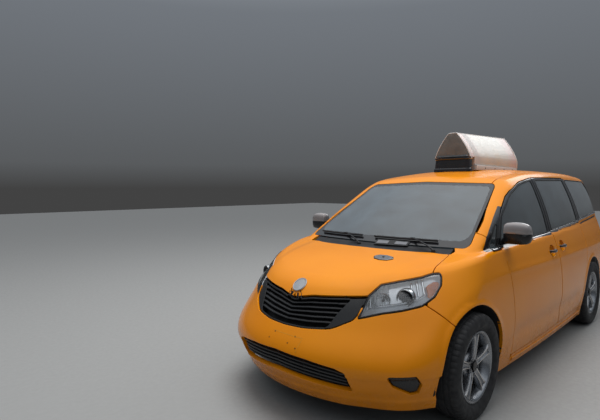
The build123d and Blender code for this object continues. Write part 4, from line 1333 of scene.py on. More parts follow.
def upper_grille():
    build_panel(
        "grille_frame", NOSE, lines_of("grille", "grille_window", *both_sides("headlamp")),
        has("grille", "-grille_window", "-headlamp", "-headlamp_right"), (1.9, 0.55), (4.4, 0.95),
        [SMOOTH_BLACK, SMOOTH_BLACK, PLASTIC], "grilles", gap=0.003, edge_r=0.004, wall=0.03, sink=0.006,
        step=0.016,
    )
    # The grille backing is a near-black sheet deep behind the openings, painted shade for the dark space
    # behind the grille
    build_panel(
        "grille_shade_backing", NOSE, lines_of("grille_window"), has("grille_window"), (1.9, 0.55), (4.4, 0.95),
        [SHADE_FILL] * 3, "grilles", gap=-0.006, edge_r=0.002, wall=0.006, sink=0.055,
    )
    blades = Parts()
    for share in (0.16, 0.33, 0.50, 0.66, 0.83):
        ends = np.interp(share, [0, 0.11, 0.25, 0.47, 0.72, 1.0], [y for y, _ in reversed(GRILLE_END)])
        y = np.linspace(-ends - 0.012, ends + 0.012, 61)
        reach = np.minimum(np.abs(y), ends)
        z = between(GRILLE_FOOT, reach) * (1 - share) + between(GRILLE_TOP, reach) * share
        place = FRONT.lift(np.column_stack([y, z]))
        rings = []
        for p in place:
            front, back = p[0] - 0.010, p[0] - 0.050
            section = [(front, -0.002), (front - 0.002, 0.003), (front - 0.006, 0.0055), (back, 0.010),
                       (back, 0.003), (front - 0.008, -0.0055), (front - 0.002, -0.005)]
            rings.append(np.array([(x, p[1], p[2] + dz) for x, dz in section]))
        blades.loft(rings)
    blades.build("grille_blades", [SMOOTH_BLACK], nodes=("grilles",), angle=0.9)


def lower_grille():
    # The lower grille backing is a near-black sheet behind the bars, painted shade for the dark space
    # behind the openings
    build_panel(
        "lower_grille_shade_backing", NOSE, lines_of("lower_grille"), has("lower_grille"), (1.9, 0.2), (4.4, 0.6),
        [SHADE_FILL] * 3, "grilles", gap=-0.004, edge_r=0.002, wall=0.006, sink=0.040,
    )
    bars = Parts()
    for share in (0.2, 0.4, 0.6, 0.8):
        y = np.linspace(-0.494, 0.494, 51)
        z = between(LOWER_FOOT, y) * (1 - share) + between(LOWER_TOP, y) * share
        place = on_surface(FRONT, np.column_stack([y, z]), 0.026)
        section = [(-0.0055, -0.020), (-0.0055, 0.0), (-0.003, 0.003), (0.003, 0.003), (0.0055, 0.0),
                   (0.0055, -0.020)]
        carried(bars, place, section)
    for y0 in np.linspace(-0.44, 0.44, 9):
        low, high = between(LOWER_FOOT, y0) + 0.008, between(LOWER_TOP, y0) - 0.008
        place = on_surface(FRONT, [(y0, z) for z in np.linspace(low, high, 5)], 0.034)
        carried(bars, place, [(-0.004, -0.02), (-0.004, 0.0), (0.004, 0.0), (0.004, -0.02)])
    bars.build("lower_grille_bars", [PLASTIC], nodes=("grilles",), angle=0.8)
    build_panel(
        "fog_cover_left", FENDER, lines_of("fog_cover"), has("fog_cover"), (1.5, 0.25), (2.6, 0.5),
        [SMOOTH_BLACK, SMOOTH_BLACK, PLASTIC], "grilles", gap=0.002, edge_r=0.005, wall=0.02, sink=0.016,
        step=0.014, twin=("fog_cover_right", "body", "grilles"),
    )


upper_grille()
lower_grille()


# Headlamps
def headlamp():
    """Black rim, faceted chrome bowl, projector, inner reflector, amber corner and clear lens."""
    zone = zones["headlamp"]
    out = zone.view.out

    def ring(amount, depth):
        return zone.view.lift(flat_ring(zone, amount)) - depth * out

    bowl = Parts()
    bowl.loft([ring(0.004, 0.004), ring(0.005, 0.020), ring(0.011, 0.044), ring(0.020, 0.056)], caps=False)
    edge = flat_ring(zone, 0.020)
    inner = grid_points([edge], 0.008)
    rim = [(i, (i + 1) % len(edge)) for i in range(len(edge))]
    flat, faces = triangulate(np.vstack([edge, inner]), rim)
    faces = [f for f in faces if contains(edge, flat[list(f)].mean(axis=0)[None])[0]]
    depth = 0.056 + np.where(flat[:, 0] < -1.05, 0.004 * np.cos(flat[:, 0] * 2 * math.pi / 0.016), 0.0)
    depth[:len(edge)] = 0.056
    bowl.add(zone.view.lift(flat) - depth[:, None] * out, faces)
    lamps = Parts()
    aim = unit(np.array([0.965, 0.25, 0.0]))
    centre = np.array([2.048, 0.673, 0.846]) - 0.050 * aim
    lamps.spin([(-0.02, 0.060), (0.026, 0.0575), (0.031, 0.055), (0.030, 0.0525), (0.010, 0.046),
                (-0.02, 0.045)],
               centre, aim, 0, 64)
    lamps.spin([(-0.02, 0.0455), (0.012, 0.0455), (0.018, 0.042), (0.019, 0.0375), (0.014, 0.035),
                (-0.02, 0.035)],
               centre, aim, 1, 64)
    dome = [(0.030 - 0.022 * (1 - math.cos(a)), 0.0345 * math.sin(a) / math.sin(1.2))
            for a in np.linspace(0.02, 1.2, 9)]
    lamps.spin([(-0.01, 0.034)] + dome[::-1], centre, aim, 2, 64, loop=False)
    centre = np.array([2.153, 0.568, 0.827]) - 0.046 * aim

    def facets(_, r, k):
        return np.where(k % 4 < 2, 0.0008, 0.0) * (r > 0.01) * (r < 0.041)

    bowl_line = [(-0.022 + 14.0 * r * r, r) for r in np.linspace(0.006, 0.040, 8)]
    lamps.spin(bowl_line + [(bowl_line[-1][0] + 0.003, 0.0425), (bowl_line[-1][0] - 0.004, 0.0455),
                            (-0.024, 0.0455)],
               centre, aim, 0, 56, wave=facets)
    lamps.spin([(-0.024, 0.009), (-0.002, 0.009), (0.002, 0.006), (0.003, 0.001)], centre, aim, 1, 24,
               loop=False)
    step = Parts()
    for a0, z0, z1 in ((-0.900, 0.842, 0.925), (-0.862, 0.852, 0.935), (-0.824, 0.862, 0.945)):
        place = zone.view.lift(np.array([(a0, z) for z in np.linspace(z0, z1, 7)])) - 0.050 * out
        step.loft(swept(place, np.tile(out, (7, 1)), half_round(0.016, 0.010)), 0)
    low = zone.view.lift(flat_ring(zone, 0.030)) - 0.050 * out
    keep = flat_ring(zone, 0.030)
    low = low[(keep[:, 1] < 0.86) & (keep[:, 0] > -1.2) & (keep[:, 0] < -0.8)]
    low = low[np.argsort(low @ np.array([-DIAGONAL, DIAGONAL, 0]))]
    step.loft(swept(low, np.tile(out, (len(low), 1)), half_round(0.010, 0.012)), 0)
    trim = Parts()
    rim_strip(trim, zone, 0.0055, 0.0085, 0.0022)
    for s, word in TWO_SIDES:
        bowl.build(f"headlamp_bowl_{word}", [REFLECTOR], nodes=("headlamps",), angle=0.5, flip=s < 0)
        lamps.build(f"headlamp_units_{word}", [CHROME, SMOOTH_BLACK, DARK_LENS], nodes=("headlamps",),
                    flip=s < 0)
        step.build(f"headlamp_steps_{word}", [CHROME], nodes=("headlamps",), angle=0.9, flip=s < 0)
        trim.build(f"headlamp_rim_{word}", [SMOOTH_BLACK], nodes=("headlamps",), angle=0.9, flip=s < 0)
    zones["amber"] = Zone(FRONT_CORNER, [(-0.800, 0.834), (-0.764, 0.850), (-0.718, 0.903), (-0.706, 0.945),
                                         (-0.750, 0.948), (-0.805, 0.925)], 0.012)
    build_panel(
        "turn_lens_left", FENDER, lines_of("amber"), has("amber"), (1.3, 0.75), (2.0, 1.1), [AMBER] * 3,
        "headlamps", gap=0.002, edge_r=0.003, wall=0.012, sink=0.022, step=0.012,
        twin=("turn_lens_right", "body", "headlamps"),
    )
    build_panel(
        "headlamp_lens_left", FENDER, lines_of("headlamp"), has("headlamp"), (1.3, 0.6), (3.2, 1.15),
        [LENS] * 3, "headlamps", gap=0.004, edge_r=0.001, wall=0.0025, sink=0.001, step=0.016,
        twin=("headlamp_lens_right", "body", "headlamps"),
    )


headlamp()


# Wheels and tyres, modelled about the origin with the outer face towards +y
def wheel_parts():
    rim = [(0.097, 0.2235), (0.0995, 0.231), (0.097, 0.2385), (0.0905, 0.2385), (0.0885, 0.222),
           (0.080, 0.213), (0.055, 0.206), (0.010, 0.195), (-0.060, 0.198), (-0.085, 0.211),
           (-0.0905, 0.228), (-0.097, 0.228), (-0.099, 0.214), (-0.086, 0.206), (-0.060, 0.192),
           (0.010, 0.189), (0.055, 0.199), (0.078, 0.209), (0.086, 0.2145), (0.092, 0.2185)]
    parts = Parts()
    parts.spin(rim, (0, 0, 0), Y, 0, 96)
    # Spoke stations: radius, half width, front face, back face
    stations = [(0.040, 0.026, 0.072, 0.030), (0.066, 0.0245, 0.077, 0.030), (0.100, 0.0225, 0.082, 0.034),
                (0.140, 0.0235, 0.086, 0.040), (0.172, 0.027, 0.0885, 0.046), (0.196, 0.033, 0.0895, 0.052),
                (0.212, 0.044, 0.0890, 0.060)]
    for i in range(5):
        turn = math.radians(72 * i)
        outward = np.array([math.sin(turn), 0, math.cos(turn)])
        across = np.array([math.cos(turn), 0, -math.sin(turn)])
        rings = []
        for r, w, front, back in stations:
            dish = 0.008 * min(1.0, (r - 0.035) / 0.05)
            section = [(-1.0, back), (-1.0, front - 0.007), (-0.86, front), (-0.62, front),
                       (-0.30, front - dish), (0.30, front - dish), (0.62, front), (0.86, front),
                       (1.0, front - 0.007), (1.0, back), (0.6, back - 0.008), (-0.6, back - 0.008)]
            rings.append(np.array([r * outward + w * a * across + b * Y for a, b in section]))
        parts.loft(rings, bands=[0, 0, 1, 0, 0, 0, 1, 0, 0, 0, 0, 0])
        nut = math.radians(72 * i + 36)
        centre = 0.057 * np.array([math.sin(nut), 0, math.cos(nut)])
        parts.spin([(0.040, 0.0165), (0.073, 0.0165), (0.0745, 0.015), (0.0735, 0.0125), (0.058, 0.0120),
                    (0.040, 0.012)],
                   centre, Y, 0, 24)
        parts.spin([(0.040, 0.0100), (0.070, 0.0100), (0.074, 0.0075), (0.0755, 0.003)], centre, Y, 2, 6,
                   loop=False)
    parts.spin([(0.020, 0.026), (0.020, 0.092), (0.040, 0.094), (0.052, 0.088), (0.056, 0.072),
                (0.060, 0.046), (0.064, 0.036), (0.064, 0.031), (0.056, 0.026)], (0, 0, 0), Y, 0, 60)
    cap = [(0.068, 0.0305), (0.080, 0.0305), (0.0825, 0.0285), (0.0815, 0.0265), (0.0812, 0.0240),
           (0.0835, 0.015), (0.0845, 0.004)]
    parts.spin(cap, (0, 0, 0), Y, 3, 48, loop=False)
    brake = Parts()
    brake.spin([(-0.045, 0.082), (-0.045, 0.158), (-0.036, 0.158), (-0.036, 0.086), (-0.031, 0.086),
                (-0.031, 0.158), (-0.022, 0.158), (-0.022, 0.080), (0.018, 0.078), (0.020, 0.070),
                (0.020, 0.0215), (0.012, 0.0215), (0.012, 0.066), (-0.030, 0.072)], (0, 0, 0), Y, 0, 72)
    return parts, brake


def tyre_parts():
    half = [(0.0860, 0.2225), (0.0895, 0.2315), (0.0905, 0.2395), (0.0950, 0.2415), (0.0985, 0.2450),
            (0.0985, 0.2470), (0.1055, 0.2540), (0.1125, 0.2660), (0.1160, 0.2820), (0.1172, 0.2970),
            (0.1165, 0.3000), (0.1172, 0.3030), (0.1150, 0.3180), (0.1120, 0.3290), (0.1090, 0.3370),
            (0.1040, 0.3440), (0.0960, 0.3490), (0.0840, 0.3520), (0.0740, 0.3534), (0.0715, 0.3465),
            (0.0625, 0.3470), (0.0600, 0.3545), (0.0370, 0.3560), (0.0345, 0.3490), (0.0255, 0.3492),
            (0.0230, 0.3566), (0.0, 0.3570)]
    profile = half + [(-y, r) for y, r in reversed(half[:-1])]
    profile += [(-0.080, 0.2165), (0.080, 0.2165)]

    def tread(height, radius, k):
        if abs(height) > 0.112 or radius < 0.3345:
            return np.zeros(len(k))
        if abs(height) > 0.072:
            return np.where((k + (1 if height > 0 else 3)) % 4 == 0, -0.0055, 0.0)
        if 0.030 < abs(height) and radius > 0.350:
            return np.where((k + (2 if height > 0 else 0)) % 4 == 0, -0.0035, 0.0)
        return np.zeros(len(k))

    parts = Parts()
    parts.spin(profile, (0, 0, 0), Y, 0, 232, wave=tread)
    return parts


def place_wheels():
    rim, brake = wheel_parts()
    tyre = tyre_parts()
    for end, x in (("front", FRONT_AXLE), ("rear", REAR_AXLE)):
        for s, word in TWO_SIDES:
            body = f"{end}_{word}_wheel"
            for parts, name, materials, node in (
                (rim, "wheel", [ALLOY, BRIGHT_ALLOY, STEEL, SMOOTH_BLACK], "wheel"),
                (brake, "brake_disc", [DISC], "wheel"), (tyre, "tyre", [RUBBER], "tyre"),
            ):
                obj = parts.build(f"{name}_{end}_{word}_detail", materials, body, (f"{node}_{end}_{word}",),
                                  0.55, s < 0)
                obj.data.transform(Matrix.Translation((x, s * WHEEL_Y, AXLE_Z)))


place_wheels()


# Side details
def bottom_edge(points, low, high, drop, step=0.03):
    """Points on the side just under a window's lower edge."""
    (x0, z0), (x1, z1) = points
    x = np.arange(high, low, -step)
    x = np.append(x, low)
    return np.column_stack([x, z0 + (x - x0) * (z1 - z0) / (x1 - x0) - drop])


def side_strip(parts, points, width, height, material=0, sink=0.0):
    place = SIDE.lift(dense(points, 0.04, closed=False))
    place = place[~np.isnan(place[:, 0])]
    normal = normals_at(place)
    parts.loft(swept(place - sink * normal, normal, half_round(width, height)), material)


def door_handle(zone, x0, z0):
    """A dished recess with a bar across it."""
    recess, bar = Parts(), Parts()
    rings = []
    for amount, depth in ((0.0012, 0.0), (0.003, 0.006), (0.008, 0.016), (0.016, 0.024), (0.026, 0.028)):
        ring = SIDE.lift(flat_ring(zone, amount))
        rings.append(ring - depth * Y)
    recess.loft(rings, caps=False)
    recess.add(rings[-1], [tuple(range(len(rings[-1])))])
    top = SIDE.lift([(x0 + t, z0 + 0.02 * t) for t in np.linspace(-0.080, 0.080, 15)])
    lift = 0.006 + 0.024 * np.sin(np.linspace(0.0, math.pi, 15)) ** 0.7
    body = []
    for p, rise, t in zip(top, lift, np.linspace(-1, 1, 15)):
        fat = 1 - 0.35 * abs(t) ** 3
        body.append(oval(p + rise * Y, Y, Z, 0.0070 * fat, 0.0125 * fat, 2.6, 16))
    for end in (0, -1):
        x_end = top[end][0] + (0.012 if end == 0 else -0.012)
        foot = SIDE.lift([(x_end, z0)])[0]
        bar.loft([oval(foot + d * Y, X, Z, 0.013, 0.011, 2.6, 16) for d in (-0.004, 0.006, 0.014)])
    bar.loft(body)
    return recess, bar


def mirror_parts():
    shell, glass = Parts(), Parts()
    # y, centre x and z, half sizes along x and z
    table = [(0.896, 0.995, 1.200, 0.030, 0.056), (0.900, 0.995, 1.203, 0.042, 0.072),
             (0.920, 0.995, 1.206, 0.048, 0.080), (0.970, 0.995, 1.208, 0.050, 0.083),
             (1.020, 0.994, 1.207, 0.049, 0.081), (1.056, 0.991, 1.205, 0.044, 0.074),
             (1.072, 0.987, 1.203, 0.036, 0.062), (1.082, 0.983, 1.201, 0.022, 0.040),
             (1.085, 0.981, 1.200, 0.008, 0.014)]
    for part in (0, 1):
        rings = []
        for y, x, z, hx, hz in table:
            ring = oval((x, y, z), X, Z, hx, hz, 3.4, 40)
            cut = 1.2065
            ring[:, 2] = np.maximum(ring[:, 2], cut) if part == 0 else np.minimum(ring[:, 2], cut - 0.003)
            if part == 1:
                ring[:, 0] = x + (ring[:, 0] - x) * 0.985
            rings.append(ring)
        shell.loft(rings, part)
    foot = [(0.862, 0.925, 1.136, 0.048, 0.028), (0.885, 0.935, 1.146, 0.044, 0.028),
            (0.905, 0.955, 1.158, 0.040, 0.028), (0.930, 0.975, 1.168, 0.034, 0.028)]
    shell.loft([oval((x, y, z), X, Z, hx, hz, 2.6, 24) for y, x, z, hx, hz in foot], 1)
    ring = [oval((0.9465 + dx, 0.988, 1.204), Y, Z, 0.080 * k, 0.064 * k, 3.2, 40)
            for dx, k in ((0.006, 1.03), (-0.001, 1.03), (-0.003, 1.0), (-0.0005, 0.965))]
    glass.loft(ring, caps=False)
    glass.add(ring[-1], [tuple(range(40))], 1)
    return shell, glass


def side_details():
    seal, door_seal, bright, door_bright, slide_bright, sill, rail = (Parts() for _ in range(7))
    for name in ("sliding_window", "rear_window", "quarter_window"):
        rim_strip(seal, zones[name], -0.0035, 0.010, 0.0022)
    rim_strip(door_seal, zones["front_window"], -0.0035, 0.010, 0.0022)
    side_strip(door_bright, bottom_edge(FRONT_DOOR_WINDOW[:2], -0.146, 0.62, 0.014), 0.016, 0.005)
    side_strip(slide_bright, bottom_edge(SLIDING_DOOR_WINDOW[:2], -1.190, -0.170, 0.014), 0.016, 0.005)
    side_strip(bright, bottom_edge(REAR_WINDOW[:2], -2.225, -1.210, 0.014), 0.016, 0.005)
    side_strip(sill, [(0.915, 0.222), (-0.985, 0.222)], 0.030, 0.008)
    side_strip(rail, [(-1.225, 1.150), (-2.060, 1.192)], 0.018, 0.0015)
    shell, glass = mirror_parts()
    front_handle = door_handle(zones["handle_front"], 0.0, 0.976)
    sliding_handle = door_handle(zones["handle_sliding"], -0.310, 0.995)
    for s, word in TWO_SIDES:
        door = f"door_{word}"
        seal.build(f"window_seal_{word}", [SEAL], flip=s < 0)
        door_seal.build(f"door_window_seal_{word}", [SEAL], door, flip=s < 0)
        bright.build(f"belt_moulding_rear_{word}", [BRIGHT], flip=s < 0)
        slide_bright.build(f"belt_moulding_middle_{word}", [BRIGHT], flip=s < 0)
        door_bright.build(f"belt_moulding_front_{word}", [BRIGHT], door, flip=s < 0)
        sill.build(f"sill_moulding_{word}", [PAINT], flip=s < 0)
        rail.build(f"door_rail_{word}", [SMOOTH_BLACK], flip=s < 0)
        shell.build(f"mirror_shell_{word}", [GREY_GLOSS, SMOOTH_BLACK], door, (f"mirror_{word}",), 0.9,
                    s < 0)
        glass.build(f"mirror_glass_{word}", [PLASTIC, CHROME], door, (f"mirror_{word}",), 0.6, s < 0)
        for handle, name, body in ((front_handle, "front", door), (sliding_handle, "sliding", "body")):
            recess, bar = handle
            recess.build(f"handle_recess_{name}_{word}", [PAINT], body, flip=s < 0, angle=1.0)
            bar.build(f"handle_bar_{name}_{word}", [BLACK], body, flip=s < 0, angle=0.9)


side_details()


# Hood, cowl, wipers
def on_hood():
    centre = on_surface(FRONT, [(0.0, 0.880)])[0]
    out = normals_at(centre[None])[0]
    disc = Parts()
    disc.spin([(-0.005, 0.0560), (0.0035, 0.0560), (0.0065, 0.0530), (0.0060, 0.0480), (0.0030, 0.0465),
               (0.0034, 0.030), (0.0040, 0.001)], centre, out, 0, 72, loop=False)
    disc.build("hood_emblem_blank", [BRIGHT], "hood_lid", angle=0.6)
    top = PLAN.lift([(1.774, 0.332)])[0]
    out = normals_at(top[None])[0]
    ahead = unit(np.cross(Y, out))
    across = np.cross(out, ahead)
    shape = np.array([(0.0, 0.078), (0.040, 0.052), (0.052, 0.0), (0.040, -0.052), (0.0, -0.078),
                      (-0.036, -0.055), (-0.046, 0.0), (-0.036, 0.055)])
    ring = np.array([top + a * ahead + b * across for a, b in rounded(shape, 0.012)])
    base = np.array([top + 1.10 * a * ahead + 1.08 * b * across for a, b in rounded(shape, 0.012)])
    plate = Parts()
    plate.plate(base + 0.0025 * out, 0.008, out, 1)
    plate.plate(ring + 0.0065 * out, 0.005, out, 0, 0.002)
    plate.spin([(0.004, 0.0095), (0.0085, 0.0095), (0.0105, 0.006), (0.011, 0.001)], top, out, 1, 24,
               loop=False)
    plate.build("hood_plate_blank", [BRIGHT, SMOOTH_BLACK], "hood_lid", angle=0.5)


on_hood()


def cowl_and_wipers():
    ends = [np.array([(x, s * COWL_HALF_W, 1.0) for x in np.arange(1.2, 1.6, 0.02)]) for s in (1, -1)]
    build_panel(
        "cowl_panel", TOP, lines_of("hood", "windshield") + ends,
        lambda p: has("-hood", "-windshield")(p) & (np.abs(p[:, 1]) < COWL_HALF_W) & (p[:, 0] > 1.25)
        & (p[:, 2] > 1.0),
        (1.15, -0.8), (1.75, 0.8), [PLASTIC] * 3, "cowl_and_wipers", gap=0.004, edge_r=0.003, wall=0.02,
        sink=0.010, step=0.02,
    )
    arms = Parts()
    for y0, far in ((0.560, -0.02), (-0.120, -0.655)):
        y = np.linspace(y0 - 0.03, far, 34)
        blade = FRONT.lift(np.column_stack([y, np.full(34, 1.138)]))
        normal = normals_at(blade)
        section = [(-0.002, -0.003), (-0.004, 0.006), (-0.011, 0.010), (-0.009, 0.015), (0.0, 0.017),
                   (0.006, 0.012), (0.004, 0.006), (0.002, -0.003)]
        arms.loft(swept(blade + 0.004 * normal, normal, section), 0)
        pivot = np.array([1.470, y0, 1.076])
        hook = blade[12] + 0.020 * normal[12]
        elbow = pivot * 0.75 + hook * 0.25 + np.array([0.004, 0, 0.022])
        path = np.array([pivot + (0, 0, 0.012), pivot * 0.9 + elbow * 0.1 + (0, 0, 0.012), elbow,
                         elbow * 0.5 + hook * 0.5 + (0, 0, 0.004), hook])
        widths = (0.013, 0.012, 0.009, 0.007, 0.006)
        arms.loft([oval(p, X, Z, w, 0.6 * w, 2.8, 14) for p, w in zip(path, widths)], 0)
        arms.spin([(-0.03, 0.016), (0.008, 0.016), (0.018, 0.013), (0.021, 0.006)], pivot, Z, 0, 28,
                  loop=False)
        arms.loft([oval(hook + d * Z, X, Y, 0.007, 0.020, 2.8, 16) for d in (-0.016, 0.002, 0.004)], 0)
    arms.build("wipers", [PLASTIC], nodes=("cowl_and_wipers",), angle=0.7)
    corners = np.array([(1.480, 0.035, 1.094), (1.440, 0.322, 1.098), (1.392, 0.322, 1.128),
                        (1.424, 0.035, 1.130)])
    out = unit(np.cross(corners[1] - corners[0], corners[3] - corners[0]))
    tray = Parts()
    tray.plate(corners, 0.010, out, 0, 0.002)
    for low, high in ((0.05, 0.40), (0.60, 0.95)):
        a, b = corners[0] * (1 - low) + corners[1] * low, corners[0] * (1 - high) + corners[1] * high
        c, d = corners[3] * (1 - low) + corners[2] * low, corners[3] * (1 - high) + corners[2] * high
        window = np.array([a * 0.8 + c * 0.2, b * 0.8 + d * 0.2, b * 0.2 + d * 0.8, a * 0.2 + c * 0.8])
        tray.plate(window + 0.002 * out, 0.003, out, 1, 0.001)
    tray.build("cowl_label_holder_blank", [SMOOTH_BLACK, PALE_GREY], nodes=("cowl_and_wipers",), angle=0.5)


cowl_and_wipers()


# Bumper fittings: screw holes and the mark of a plate bracket
def bumper_fittings():
    holes, mark = Parts(), Parts()
    # Each screw hole is a shallow near-black dish, painted shade for the dark inside of the hole
    for y, z in ((-0.051, 0.582), (0.131, 0.584), (-0.089, 0.540), (0.089, 0.540), (0.160, 0.520)):
        p = on_surface(FRONT, [(y, z)])[0]
        holes.spin([(-0.003, 0.0052), (0.0004, 0.0052), (0.0006, 0.0030), (-0.001, 0.001)], p,
                   normals_at(p[None])[0], 0, 20, loop=False)
    holes.build("plate_screw_holes", [SHADE_FILL])
    frame = dense([(-0.067, 0.589), (0.190, 0.582), (0.170, 0.498)], 0.02, closed=False)
    place = on_surface(FRONT, frame)
    carried(mark, place, half_round(0.0030, 0.0006, 0.001))
    mark.build("bracket_mark", [WORN_PAINT])


bumper_fittings()


# Roof sign and advertising display
def rounded_plan(cx, half_x, half_y, z, power=7.0, count=48):
    return oval((cx, 0.0, z), X, Y, half_x, half_y, power, count)


def roof_sign():
    box = Parts()
    table = [(1.712, 0.060, 0.198), (1.738, 0.060, 0.199), (1.744, 0.058, 0.197), (1.748, 0.053, 0.190),
             (1.836, 0.049, 0.182), (1.841, 0.055, 0.188), (1.848, 0.057, 0.190), (1.856, 0.055, 0.187),
             (1.857, 0.048, 0.180)]
    box.loft([rounded_plan(0.030, hx, hy, z) for z, hx, hy in table])
    face = rounded([(-0.150, 1.762), (0.150, 1.762), (0.145, 1.826), (-0.145, 1.826)], 0.01)
    box.plate(np.array([(0.082, y, z) for y, z in face]) + [0.0005, 0, 0], 0.02, X, 1, 0.002)
    box.build("roof_sign_box", [BLACK, DARK_LENS], nodes=("roof_sign",), angle=0.6)


def ogive(x, foot_z=None, count=15, grow=0.0):
    """Half section of the display from its foot to its top edge."""
    share = (0.06 - x) / 1.22
    foot, top = 0.190 + 0.024 * share, 0.042 + 0.018 * share
    low, high = 1.862, 2.108 + 0.027 * share
    t = np.linspace(0, 1, count)
    y = foot * (1 - t) + top * t + 0.45 * (foot - top) * t * (1 - t)
    points = [(yy + grow, low + (high - low) * tt) for yy, tt in zip(y, t)]
    points[-1] = (points[-1][0] - grow, points[-1][1] + grow)
    if foot_z is not None:
        points = [(foot + 0.002 + grow, foot_z), (foot + 0.002 + grow, foot_z + 0.03)] + points
    return points


def across_at(x, outline):
    return np.array([(x, y, z) for y, z in outline])


def ogive_ring(x, foot_z=None, grow=0.0):
    half = ogive(x, foot_z, grow=grow)
    return across_at(x, half + [(-y, z) for y, z in reversed(half)])


def display():
    shell, front, trim = Parts(), Parts(), Parts()
    shell.loft([ogive_ring(x) for x in (0.040, 0.000, -0.046)], 0)
    shell.loft([ogive_ring(x, 1.776) for x in np.linspace(-0.150, -1.150, 9)], 0)
    trim.loft([ogive_ring(x, 1.730, 0.001) for x in (-0.042, -0.150)], 0)
    # Front panel of brushed metal, domed a little
    rings = []
    for x, k in ((0.040, 0.985), (0.052, 0.975), (0.057, 0.955), (0.060, 0.80), (0.062, 0.40),
                 (0.0625, 0.05)):
        ring = ogive_ring(x)
        middle = np.array([x, 0.0, 1.955])
        rings.append(middle + (ring - middle) * k)
    front.loft(rings)
    bar = ((-0.165, 1.866), (0.165, 1.866), (0.160, 1.880), (-0.160, 1.880))
    front.plate(across_at(0.066, bar), 0.008, X, 1, 0.002)
    for x, foot in ((0.046, None), (-1.148, 1.776)):
        path = ogive_ring(x, foot, 0.001)
        out = path - [x, 0.0, 1.90]
        out[:, 0] = 0
        out /= np.linalg.norm(out, axis=1)[:, None]
        trim.loft(swept(path, out, [(-0.011, -0.004), (-0.011, 0.003), (-0.009, 0.0045), (0.009, 0.0045),
                                    (0.011, 0.003), (0.011, -0.004)]), 0)
    for s in (1, -1):
        y0, y1 = s * 0.196, s * 0.218
        rail = ((y0, 1.728), (y1, 1.730), (y1, 1.775), (y1 - s * 0.002, 1.778), (y0, 1.779))
        trim.loft([across_at(x, rail) for x in (-0.042, -0.052, -1.145, -1.152)], 0)
        for x in (-0.25, -0.50, -0.75, -1.00):
            trim.spin([(0.0, 0.006), (0.003, 0.006), (0.005, 0.004), (0.0055, 0.001)],
                      (x, s * 0.218, 1.753), (0, s, 0), 1, 14, loop=False)
    ends = []
    for x, h, t in ((0.052, 0.043, 2.106), (-1.155, 0.062, 2.133)):
        ends.append(across_at(x, ((-h, t), (-h, t + 0.004), (-h + 0.004, t + 0.007),
                                  (h - 0.004, t + 0.007), (h, t + 0.004), (h, t))))
    trim.loft(ends, 0)
    tail = ((-0.206, 1.740), (0.206, 1.740), (0.206, 1.778), (-0.206, 1.778))
    trim.loft([across_at(x, tail) for x in (-1.10, -1.152)], 0)
    shell.build("display_panels", [FADED_PRINT], nodes=("ad_topper",), angle=0.6)
    front.build("display_front", [GREY_METAL, BRIGHT], nodes=("ad_topper",), angle=0.6)
    trim.build("display_frame", [PALE, STEEL], nodes=("ad_topper",), angle=0.6)
    light = Parts()
    for s in (1, -1):
        table = [(-1.04, 0.006, 0.006), (-1.05, 0.016, 0.014), (-1.08, 0.024, 0.020), (-1.13, 0.026, 0.022),
                 (-1.17, 0.022, 0.018), (-1.185, 0.008, 0.007)]
        light.loft([oval((x, s * 0.190, 1.752), Y, Z, hy, hz, 2.4, 24) for x, hy, hz in table])
    light.build("display_tail_light", [AMBER_RED], nodes=("ad_topper",), angle=0.9)


roof_sign()
display()


# Rear lamps and tailgate fittings
def rear_details():
    build_panel(
        "tail_lamp_lens_left", STERN, lines_of("tail_lamp"), has("tail_lamp"), (-3.4, 0.8), (-1.0, 1.25),
        [RED_LENS] * 3, "tail_lamps", gap=0.003, edge_r=0.006, wall=0.05, sink=0.0, step=0.016,
        twin=("tail_lamp_lens_right", "body", "tail_lamps"),
    )
    inner = Parts()
    view = zones["tail_lamp"].view
    for z0, a0, a1 in ((1.118, -1.19, -1.03), (1.085, -1.195, -0.965)):
        place = view.lift([(a, z0) for a in np.linspace(a0, a1, 12)])
        carried(inner, place, half_round(0.012, 0.0022))
    for s, word in TWO_SIDES:
        inner.build(f"tail_lamp_ribs_{word}", [LENS_WHITE], flip=s < 0, nodes=("tail_lamps",))
    bar, wiper, lamp = Parts(), Parts(), Parts()
    place = on_surface(BACK, [(y, 0.985) for y in np.linspace(-0.36, 0.36, 31)])
    carried(bar, place, half_round(0.046, 0.016))
    bar.build("tailgate_garnish", [BRIGHT], "tailgate_lid", angle=0.8)
    place = on_surface(BACK, [(y, 1.655) for y in np.linspace(-0.17, 0.17, 15)], 0.0)
    carried(lamp, place, half_round(0.022, 0.008))
    lamp.build("high_brake_lamp", [RED_LENS], "tailgate_lid", angle=0.8)
    pivot = on_surface(BACK, [(0.0, 1.195)])[0]
    out = normals_at(pivot[None])[0]
    wiper.spin([(-0.006, 0.024), (0.016, 0.022), (0.024, 0.016), (0.026, 0.004)], pivot, out, 0, 28,
               loop=False)
    y = np.linspace(0.02, 0.34, 12)
    path = on_surface(BACK, np.column_stack([y, 1.200 + 0.12 * y]), -0.018)
    carried(wiper, path, half_round(0.014, 0.008, 0.006))
    y = np.linspace(0.12, 0.52, 20)
    path = on_surface(BACK, np.column_stack([y, 1.256 + 0.05 * (y - 0.12)]), -0.001)
    carried(wiper, path, half_round(0.010, 0.018, 0.001))
    wiper.build("rear_wiper", [PLASTIC], "tailgate_lid", angle=0.8)
    for s, word in TWO_SIDES:
        reflector = Parts()
        place = on_surface(BACK, [(y, 0.430) for y in np.linspace(0.62, 0.76, 9)])
        carried(reflector, place, half_round(0.030, 0.005))
        reflector.build(f"rear_reflector_{word}", [RED_LENS], flip=s < 0)


rear_details()


def coated(mesh, material):
    mesh.materials.clear()
    mesh.materials.append(material)


